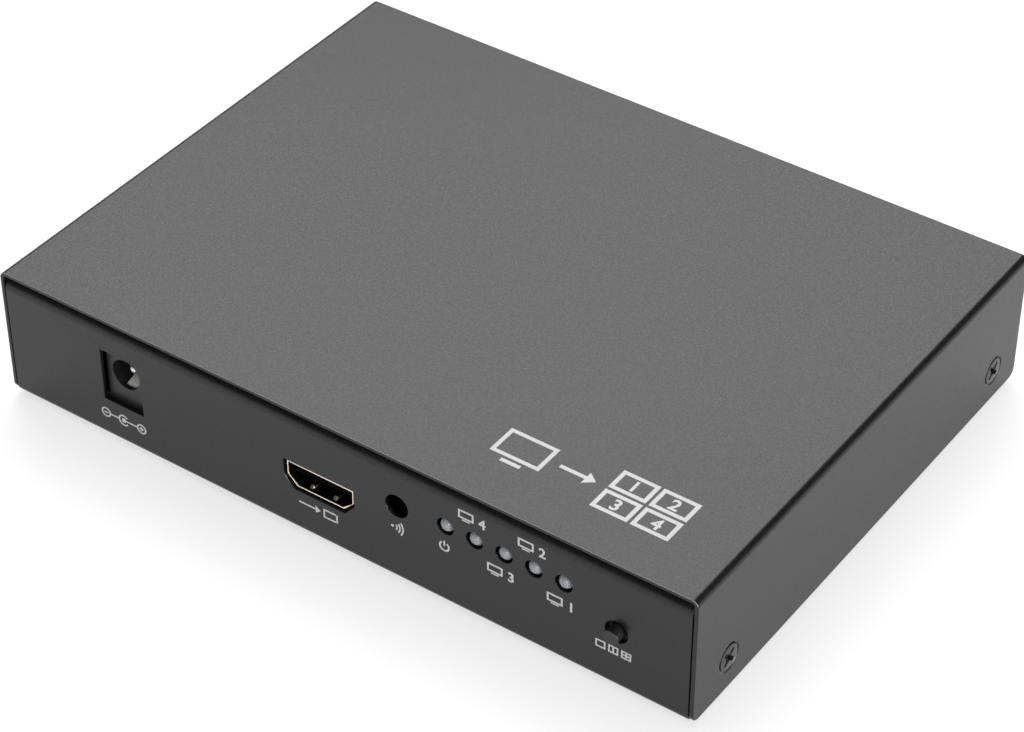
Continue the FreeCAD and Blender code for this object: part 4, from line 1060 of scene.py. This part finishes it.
@dataclass
class FrontPanel:
    """Remote receiver, status lights and mode button.

    Attributes:
        lights: The status lights' nodes.
        lens_radius: Radius of the receiver's lens.
        lens_collar: Length of the lens's straight part.
        lens_steps: Faces round the lens.
        block_depth: Depth of the block behind the lens.
        block_corners: Radii of the block's lower and upper corners.
        light_radius: Radius of a light.
        base_length: Thickness of the flange at a light's base.
        base_bevel: Bevel of that flange.
        stem_radius: Radius of the button's stem.
        end_easing: Rounding of the stem's end.
        end_land: Flat ring between that rounding and the dish.
        end_dish: Dish in the stem's end, as (share of its radius, depth).
        nib_radius: Radius of the nib that presses the dome.
        nib_length: Length of that nib.
        stop_length: Thickness of the flange that keeps the button in.
        switch_easing: Rounding of the switch's edges.
        steps: Faces round a light or the button.
    """

    lights: tuple[str, ...] = ("power_light", "output_4_light", "output_3_light", "output_2_light",
                               "output_1_light")
    lens_radius: float = 2.05 * MM
    lens_collar: float = 1.3 * MM
    lens_steps: int = 64
    block_depth: float = 2.8 * MM
    block_corners: Pair = (0.5 * MM, 1.2 * MM)
    light_radius: float = 1.5 * MM
    base_length: float = 1.0 * MM
    base_bevel: float = 0.1 * MM
    stem_radius: float = 1.45 * MM
    end_easing: float = 0.18 * MM
    end_land: float = 0.1 * MM
    end_dish: tuple[Pair, ...] = ((0.0, 0.05 * MM), (0.6, 0.03 * MM))
    nib_radius: float = 0.8 * MM
    nib_length: float = 0.45 * MM
    stop_length: float = 0.6 * MM
    switch_easing: float = 0.06 * MM
    steps: int = 48

    def build(self) -> None:
        """Builds what shows in the front panel's round holes."""
        self.receiver()
        for name in self.lights:
            self.light(name)
        self.button()
        self.dome()
        for node, finish in (("mode_switch_body", JACK_BLACK), ("mode_switch_plate", PLATE_BLACK)):
            Bench.dressed(node + "_eased", node, finish, self.switch_easing)

    @staticmethod
    def facing(node: str, profile: Sequence[Pair], inset: float, steps: int) -> Shape:
        """Turns a profile about the axis of a node that faces the front.

        Args:
            node: The node whose middle and front the shape shares.
            profile: Points (radius, height), with height to the front.
            inset: How far behind the node's front height 0 lies.
            steps: Faces round the axis.

        Returns:
            The shape, in place.
        """
        middle = Bench.middle(node)
        place = Matrix.Translation((middle.x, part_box(node)[0].y + inset, middle.z))
        return Bench.moved(Bench.turned(profile, steps), place @ FRONT_VIEW)

    def receiver(self) -> None:
        """Builds the receiver's block with its round lens."""
        low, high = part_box("remote_receiver")
        radius, collar = self.lens_radius, self.lens_collar
        profile = arc(radius, 90, 0, 16) + [(radius, -collar), (0.0, -collar)]
        lens = self.facing("remote_receiver", profile, radius, self.lens_steps)
        lower, upper = self.block_corners
        corners = rounded([(low.x, low.z, lower), (high.x, low.z, lower), (high.x, high.z, upper),
                           (low.x, high.z, upper)])
        block = Bench.moved(Bench.prism(corners, -high.y, self.block_depth - high.y), FRONT_VIEW)
        mesh = Bench.closed(Bench.joined([lens, block]), "receiver")
        Bench.piece("remote_receiver_epoxy", mesh, SENSOR_GLOSS, ["remote_receiver"])

    def light(self, node: str) -> None:
        """Builds one status light: dome, barrel and flange in one moulding."""
        low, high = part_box(node)
        radius, bevel = self.light_radius, self.base_bevel
        flange = (high.x - low.x) / 2
        back = low.y - high.y
        front = back + self.base_length
        profile = [(u, v - radius) for u, v in arc(radius, 90, 0, 14)]
        profile += [(radius, front), (flange - bevel, front), (flange, front - bevel), (flange, back + bevel),
                    (flange - bevel, back), (0.0, back)]
        shape = self.facing(node, profile, 0.0, self.steps)
        Bench.piece(node + "_lens", Bench.closed(shape, node), CLEAR_LENS, [node])

    def button(self) -> None:
        """Builds the push button's plunger with its slightly dished end."""
        node = "mode_plunger"
        low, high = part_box(node)
        flange = (high.x - low.x) / 2
        end = low.y - high.y
        back = end + self.nib_length
        front = back + self.stop_length
        ease, stem, nib = self.end_easing, self.stem_radius, self.nib_radius
        profile = [(stem * share, -depth) for share, depth in self.end_dish]
        profile += [(stem - ease - self.end_land, 0.0)]
        profile += [(stem - ease + u, v - ease) for u, v in arc(ease, 90, 0, 5)]
        profile += [(stem, front), (flange, front), (flange, back), (nib, back), (nib, end), (0.0, end)]
        shape = self.facing(node, profile, 0.0, self.steps)
        Bench.piece("mode_plunger_moulded", Bench.closed(shape, "plunger"), BUTTON_BLACK, [node], BUTTON_BODY)

    def dome(self) -> None:
        """Builds the switch's snap dome from the CAD node's own shape, with a mesh of its own."""
        thing = Bench.piece("mode_switch_dome_sprung", Bench.node_copy("mode_switch_dome"), PLATED_STEEL,
                            ["mode_switch_dome"])
        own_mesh(thing)


class PrintFace(Enum):
    """The two faces that carry print."""

    FRONT = "front"
    TOP = "top"

    def matrix(self) -> Matrix:
        """Gives the turn from the drawing plane to the face."""
        if self is PrintFace.FRONT:
            return Matrix.Translation((0.0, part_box("chassis_tray")[0].y, 0.0)) @ FRONT_VIEW
        return Matrix.Translation((0.0, 0.0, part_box("top_cover")[1].z))

    def finish(self) -> Finish:
        """Gives the ink that the face is printed with."""
        return PRINT_PALE if self is PrintFace.FRONT else PRINT_GREY


@dataclass
class Legend:
    """Thin print on one face, drawn in millimetres from bars, arcs, frames and plain numbers.

    Attributes:
        name: The piece's name.
        face: Where it is printed.
        centre: Where on the face the drawing's zero lies.
        stroke: Width of a line.
        thickness: Thickness of the ink, in metres.
        sunk: How far the ink reaches into the face, in metres.
        head_share: Half the width of an arrow's head, as a share of its length.
        cap_share: A digit's height, as a share of the font's size.
        bold_share: How much a digit is thickened, as a share of its height.
    """

    name: str
    face: PrintFace
    centre: Pair = (0.0, 0.0)
    stroke: float = 0.36
    thickness: float = 0.02 * MM
    sunk: float = 0.005 * MM
    head_share: float = 0.75
    cap_share: float = 0.7
    bold_share: float = 0.036

    def __post_init__(self) -> None:
        """Starts with nothing drawn."""
        self.shapes: list[Shape] = []

    def on_face(self, point: Pair) -> Pair:
        """Gives a drawn point's place on the face, in metres."""
        return ((self.centre[0] + point[0]) * MM, (self.centre[1] + point[1]) * MM)

    def outline(self, points: Sequence[Pair]) -> None:
        """Prints a filled outline."""
        self.shapes.append(Bench.prism([self.on_face(point) for point in points], -self.sunk, self.thickness))

    def bar(self, start: Pair, finish: Pair, stroke: float | None = None) -> None:
        """Prints a straight line."""
        half = (stroke or self.stroke) / 2
        length = math.dist(start, finish)
        along, up = (half * (finish[axis] - start[axis]) / length for axis in range(2))
        corners = [(start, 1), (start, -1), (finish, -1), (finish, 1)]
        self.outline([(point[0] - up * side, point[1] + along * side) for point, side in corners])

    def curve(self, centre: Pair, radius: float, start: float, finish: float, steps: int = 20) -> None:
        """Prints part of a ring, angles in degrees."""
        outer = arc(radius + self.stroke / 2, start, finish, steps, centre)
        inner = arc(radius - self.stroke / 2, finish, start, steps, centre)
        self.outline(outer + inner)

    def ring(self, centre: Pair, radius: float) -> None:
        """Prints a whole ring, in two halves."""
        self.curve(centre, radius, 0, 180)
        self.curve(centre, radius, 180, 360)

    def disc(self, centre: Pair, radius: float) -> None:
        """Prints a dot."""
        self.outline(arc(radius, 0, 345, 23, centre))

    def frame(self, low: Pair, high: Pair) -> None:
        """Prints a rectangle's four sides."""
        half = self.stroke / 2
        for level in (low[1] + half, high[1] - half):
            self.bar((low[0], level), (high[0], level))
        for across in (low[0] + half, high[0] - half):
            self.bar((across, low[1] + self.stroke), (across, high[1] - self.stroke))

    def arrow(self, start: Pair, finish: Pair, head: float) -> None:
        """Prints an arrow along +X."""
        neck = finish[0] - head
        half = head * self.head_share
        self.bar(start, (neck, finish[1]))
        self.outline([(neck, finish[1] - half), (neck, finish[1] + half), finish])

    def number(self, digit: int, centre: Pair, height: float) -> None:
        """Prints one plain digit."""
        curve = bpy.data.curves.new("digit", "FONT")
        curve.body = str(digit)
        curve.size = height * MM / self.cap_share
        curve.offset = height * MM * self.bold_share
        curve.extrude = self.thickness / 2
        curve.align_x = "CENTER"
        shape = Bench.loose(Bench.evaluated(placed("digit", curve)))
        xs = [vert.co.x for vert in shape.verts]
        ys = [vert.co.y for vert in shape.verts]
        middle = Vector(((min(xs) + max(xs)) / 2, (min(ys) + max(ys)) / 2, 0.0))
        target = Vector((*self.on_face(centre), self.thickness / 2))
        self.shapes.append(Bench.moved(shape, Matrix.Translation(target - middle)))

    def build(self) -> None:
        """Makes the print a piece."""
        whole = Bench.moved(Bench.joined(self.shapes), self.face.matrix())
        Bench.piece(self.name, Bench.closed(whole, self.name), self.face.finish())


@dataclass
class PanelPrint:
    """All print on the object: signs and plain numbers only, drawn in millimetres.

    Attributes:
        digit_height: Height of a digit in front.
        top_digit_height: Height of a digit on the top.
        screen: Width and height of a screen on the top.
    """

    digit_height: float = 2.0
    top_digit_height: float = 2.6
    screen: Pair = (7.4, 5.0)

    def build(self) -> None:
        """Prints the front panel and the top."""
        self.supply_sign()
        self.input_sign()
        self.receiver_sign()
        self.light_signs()
        self.mode_sign()
        self.top_sign()

    def supply_sign(self) -> None:
        """Prints the direct-current polarity sign under the jack."""
        legend = Legend("legend_supply", PrintFace.FRONT, (-47.6, 6.75), 0.32)
        for across in (-4.2, 4.2):
            legend.ring((across, 0.0), 0.95)
            legend.bar((across - 0.5, 0.0), (across + 0.5, 0.0))
        for way in (1, -1):
            legend.bar((4.2, way * 0.14), (4.2, way * 0.5))
        legend.disc((0.0, 0.0), 0.5)
        legend.curve((0.0, 0.0), 1.1, 40, 320)
        legend.bar((-3.1, 0.0), (-1.25, 0.0))
        legend.bar((0.5, 0.0), (3.1, 0.0))
        legend.build()

    def input_sign(self) -> None:
        """Prints an arrow into a frame under the input socket."""
        legend = Legend("legend_input", PrintFace.FRONT, (-2.85, 8.2))
        legend.arrow((-4.2, 0.0), (0.6, 0.0), 1.1)
        legend.bar((1.4, -1.0), (1.4, 1.0))
        for level in (0.84, -0.84):
            legend.bar((1.56, level), (4.2, level))
        legend.bar((4.2, -1.0), (4.2, 1.0))
        legend.build()

    def receiver_sign(self) -> None:
        """Prints waves that spread from a dot, under the receiver."""
        legend = Legend("legend_receiver", PrintFace.FRONT, (13.6, 13.25), 0.32)
        legend.disc((0.0, 0.0), 0.3)
        for radius in (0.95, 1.6, 2.25):
            legend.curve((0.0, 0.0), radius, -38, 38, 10)
        legend.build()

    def light_signs(self) -> None:
        """Prints a power sign and the four outputs' numbered screens."""
        legend = Legend("legend_lights", PrintFace.FRONT, (24.6, 14.25))
        legend.curve((0.0, 0.0), 0.95, 125, 415, 24)
        legend.bar((0.0, 0.1), (0.0, 1.25))
        for number, centre in ((4, (30.9, 23.45)), (3, (36.8, 14.55)), (2, (43.1, 23.45)), (1, (49.0, 14.4))):
            legend.centre = centre
            legend.frame((-3.3, -0.85), (-0.1, 1.0))
            legend.bar((-2.5, -1.15), (-0.9, -1.15), 0.26)
            legend.number(number, (1.6, -0.1), self.digit_height)
        legend.build()

    def mode_sign(self) -> None:
        """Prints one, two and four screens under the button."""
        legend = Legend("legend_mode", PrintFace.FRONT, (59.05, 9.4), 0.3)
        legend.frame((-3.5, -0.85), (-1.5, 0.85))
        for left in (-0.95, 1.6):
            legend.frame((left, -0.85), (left + 2.0, 0.85))
            legend.bar((left + 1.0, -0.59), (left + 1.0, 0.59))
        legend.bar((1.86, 0.0), (2.47, 0.0))
        legend.bar((2.73, 0.0), (3.34, 0.0))
        legend.build()

    def top_sign(self) -> None:
        """Prints one screen, an arrow and a wall of four numbered screens."""
        legend = Legend("legend_top", PrintFace.TOP, stroke=0.8)
        legend.frame((26.0, -43.6), (36.0, -37.0))
        legend.bar((29.0, -44.6), (33.0, -44.6))
        legend.arrow((38.2, -40.3), (45.4, -40.3), 2.0)
        wide, tall = self.screen
        corners = ((47.6, -40.0), (55.6, -40.0), (47.6, -45.6), (55.6, -45.6))
        for number, corner in enumerate(corners, 1):
            legend.centre = corner
            legend.frame((0.0, 0.0), self.screen)
            legend.number(number, (wide / 2, tall / 2), self.top_digit_height)
        legend.build()


@dataclass
class BoardParts:
    """The circuit board and what stands on it, all inside the case.

    Attributes:
        row: The tree that repeats fins and leads.
        easing: Rounding of the small parts' edges.
        fin_count: Fins of the heatsink.
        fin_thickness: Thickness of a fin.
        fin_tip: Rounding of a fin's upper edges.
        sink_base: Thickness of the heatsink's plate.
        light_count: Lights that stand on leads.
        light_pitch: Distance between lights.
        wire: Thickness of a lead.
        wire_pitch: Distance between a light's two leads.
        wire_bends: Inner and outer radius of a lead's bend.
    """

    row: EvenRow
    easing: float = 0.08 * MM
    fin_count: int = 8
    fin_thickness: float = 1.1 * MM
    fin_tip: float = 0.25 * MM
    sink_base: float = 1.6 * MM
    light_count: int = 5
    light_pitch: float = 6.05 * MM
    wire: float = 0.5 * MM
    wire_pitch: float = 2.54 * MM
    wire_bends: Pair = (0.15 * MM, 0.6 * MM)

    def heatsink(self) -> None:
        """Builds the heatsink: one plate and an even row of fins."""
        node = "processor_heatsink"
        low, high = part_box(node)
        height = high.z - low.z
        thick, tip = self.fin_thickness, self.fin_tip
        section = rounded([(0.0, 0.0, 0.0), (thick, 0.0, 0.0), (thick, height, tip), (0.0, height, tip)], 3)
        fin = Bench.moved(Bench.prism(section, low.y - high.y, 0.0), Matrix.Translation(low) @ FRONT_VIEW)
        pitch = (high.x - low.x - thick) / (self.fin_count - 1)
        fins = Bench.loose(self.row.make(Bench.closed(fin, "fin"), SINK_BLACK, Count=self.fin_count,
                                         Pitch=pitch))
        plate = Bench.prism([(low.x, low.y), (high.x, low.y), (high.x, high.y), (low.x, high.y)],
                            low.z, low.z + self.sink_base)
        Bench.piece(node + "_finned", Bench.closed(Bench.joined([fins, plate]), node), SINK_BLACK, [node])

    def light_leads(self) -> None:
        """Builds the bent leads of the five lights, one pair repeated."""
        node = "light_leads"
        low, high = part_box(node)
        wire = self.wire
        inner, outer = self.wire_bends
        outline = rounded([
            (low.y, high.z - wire, 0.0), (high.y - wire, high.z - wire, inner), (high.y - wire, low.z, 0.0),
            (high.y, low.z, 0.0), (high.y, high.z, outer), (low.y, high.z, 0.0),
        ], 4)
        pair = Bench.joined(Bench.moved(Bench.prism(outline, start, start + wire), SIDE_VIEW)
                            for start in (low.x, low.x + self.wire_pitch))
        whole = self.row.make(Bench.closed(pair, "lead_pair"), TINNED_LEAD, Count=self.light_count,
                              Pitch=self.light_pitch)
        Bench.piece(node + "_tinned", whole, TINNED_LEAD, [node])

    def build(self, shown: set[str]) -> None:
        """Dresses every node that no other class has replaced.

        Args:
            shown: Nodes that already have a piece of their own.
        """
        slots = {entry["node"]: entry["material_slot"] for entry in frame["record"]["subparts"]}
        for node in sorted(set(frame["nodes"]) - shown):
            Bench.dressed(node + "_dressed", node, NODE_FINISHES[slots[node]], self.easing, 1)


@dataclass
class Studio:
    """Camera, floor, world and lamps.

    Attributes:
        place: The camera's place.
        turn: The camera's Euler angles, in degrees.
        lens: Focal length for a frame as wide as the sensor, in millimetres.
        sensor_width: Width of that frame, in millimetres.
        clip: Nearest and farthest distance that the camera sees.
        horizon_level: Strength of the world near the horizon.
        zenith_level: Strength of the world overhead.
        dome_rise: Heights between which the world goes from one to the other.
        dark_level: Strength of what gloss mirrors above the backdrop.
        backdrop_rise: Heights between which the white backdrop ends.
        paper_half: Half the floor's width.
        paper_colour: Grey of the floor.
        paper_glow: What the floor adds where it is seen.
    """

    place: Corner = (0.25215, -0.35648, 0.36291)
    turn: Corner = (50.6876, 0.0062, 35.2894)
    lens: float = 106.628
    sensor_width: float = 36.0
    clip: Pair = (0.01, 20.0)
    horizon_level: float = 0.5
    zenith_level: float = 1.0
    dome_rise: Pair = (0.35, 0.9)
    dark_level: float = 0.03
    backdrop_rise: Pair = (0.02, 0.16)
    paper_half: float = 3.0
    paper_colour: float = 0.35
    paper_glow: float = 0.61

    def build(self) -> None:
        """Sets up the whole studio."""
        self.camera()
        self.floor()
        self.world()
        self.lamp("lamp_behind", (-0.58, 0.83, 1.24), (0.0, 0.0, 0.02), 1.25, 22.5)
        self.lamp("lamp_right", (0.95, -0.15, 0.12), (0.075, 0.0, 0.014), 0.3, 9.0)
        self.lamp("lamp_front", (0.45, -0.85, 0.3), (0.0, -0.05, 0.02), 0.4, 2.6)
        bpy.context.scene.view_settings.view_transform = "Standard"

    def camera(self) -> None:
        """Places the camera at the photograph's angle."""
        data = bpy.data.cameras.new("photo_camera")
        data.sensor_fit = "HORIZONTAL"
        data.sensor_width = self.sensor_width
        data.lens = self.lens
        data.clip_start, data.clip_end = self.clip
        thing = placed("photo_camera", data)
        turn = Euler([math.radians(angle) for angle in self.turn], "XYZ")
        thing.matrix_world = Matrix.Translation(self.place) @ turn.to_matrix().to_4x4()
        bpy.context.scene.camera = thing

    @staticmethod
    def seen(desk: NodeDesk) -> Socket:
        """Gives 1 where the camera sees a surface, directly, mirrored or through glass."""
        path = desk.add("ShaderNodeLightPath")
        direct = desk.sum("MAXIMUM", path.outputs["Is Camera Ray"], path.outputs["Is Glossy Ray"])
        return desk.sum("MAXIMUM", direct, path.outputs["Is Transmission Ray"])

    def floor(self) -> None:
        """Lays a wide pale floor that keeps the object's shadow."""
        shape = bmesh.new()
        bmesh.ops.create_grid(shape, x_segments=1, y_segments=1, size=self.paper_half)
        mesh = Bench.meshed(shape, "floor")
        paper = bpy.data.materials.new("floor_paper")
        desk = NodeDesk.fresh(paper)
        matte = desk.add("ShaderNodeBsdfDiffuse", {"Color": (*[self.paper_colour] * 3, 1.0)})
        strength = desk.sum("MULTIPLY", self.seen(desk), self.paper_glow)
        glow = desk.add("ShaderNodeEmission", {"Color": WHITE, "Strength": strength})
        lit = desk.add("ShaderNodeAddShader", {0: matte.outputs[0], 1: glow.outputs[0]})
        desk.add("ShaderNodeOutputMaterial", {"Surface": lit.outputs[0]})
        mesh.materials.append(paper)
        floor = placed("floor", mesh)

    def world(self) -> None:
        """Lights everything from a dome that is brightest overhead, and shows white behind."""
        world = bpy.data.worlds.new("studio_world")
        desk = NodeDesk.fresh(world)
        way = desk.add("ShaderNodeSeparateXYZ", {0: desk.add("ShaderNodeTexCoord").outputs["Generated"]})
        shades = []
        for heights, levels in ((self.dome_rise, (self.horizon_level, self.zenith_level)),
                                (self.backdrop_rise, (1.0, self.dark_level))):
            strength = desk.span(way.outputs["Z"], *heights, levels, interpolation_type="SMOOTHSTEP")
            shades.append(desk.add("ShaderNodeBackground", {"Color": WHITE, "Strength": strength}).outputs[0])
        mixed = desk.add("ShaderNodeMixShader", {0: self.seen(desk), 1: shades[0], 2: shades[1]})
        desk.add("ShaderNodeOutputWorld", {"Surface": mixed.outputs[0]})
        bpy.context.scene.world = world

    @staticmethod
    def lamp(name: str, place: Corner, target: Corner, size: float, power: float) -> None:
        """Hangs one soft square lamp.

        Args:
            name: Its name.
            place: Where it hangs.
            target: What it faces.
            size: Its side, in metres.
            power: Its power, in watts.
        """
        data = bpy.data.lights.new(name, "AREA")
        data.shape = "SQUARE"
        data.size = size
        data.energy = power
        aim = Vector(target) - Vector(place)
        thing = placed(name, data)
        thing.matrix_world = Matrix.Translation(place) @ aim.to_track_quat("-Z", "Y").to_matrix().to_4x4()


def replaced_nodes() -> set[str]:
    """Gives the CAD nodes that a piece already stands for."""
    found: set[str] = set()
    for thing in bpy.context.scene.objects:
        found.update(thing.get("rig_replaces", []))
    return found


def main() -> None:
    """Builds the studio and every sub-assembly."""
    logging.basicConfig(level=logging.INFO, format="%(name)s %(message)s")
    Studio().build()
    SteelCase().build()
    PowerJack().build()
    row = EvenRow()
    for name in ("input_socket", "output_1_socket", "output_2_socket", "output_3_socket", "output_4_socket"):
        PictureSocket(name, row, facing_back=name.startswith("output")).build()
    FrontPanel().build()
    PanelPrint().build()
    board = BoardParts(row)
    board.heatsink()
    board.light_leads()
    board.build(replaced_nodes())


if __name__ == "__main__":
    main()
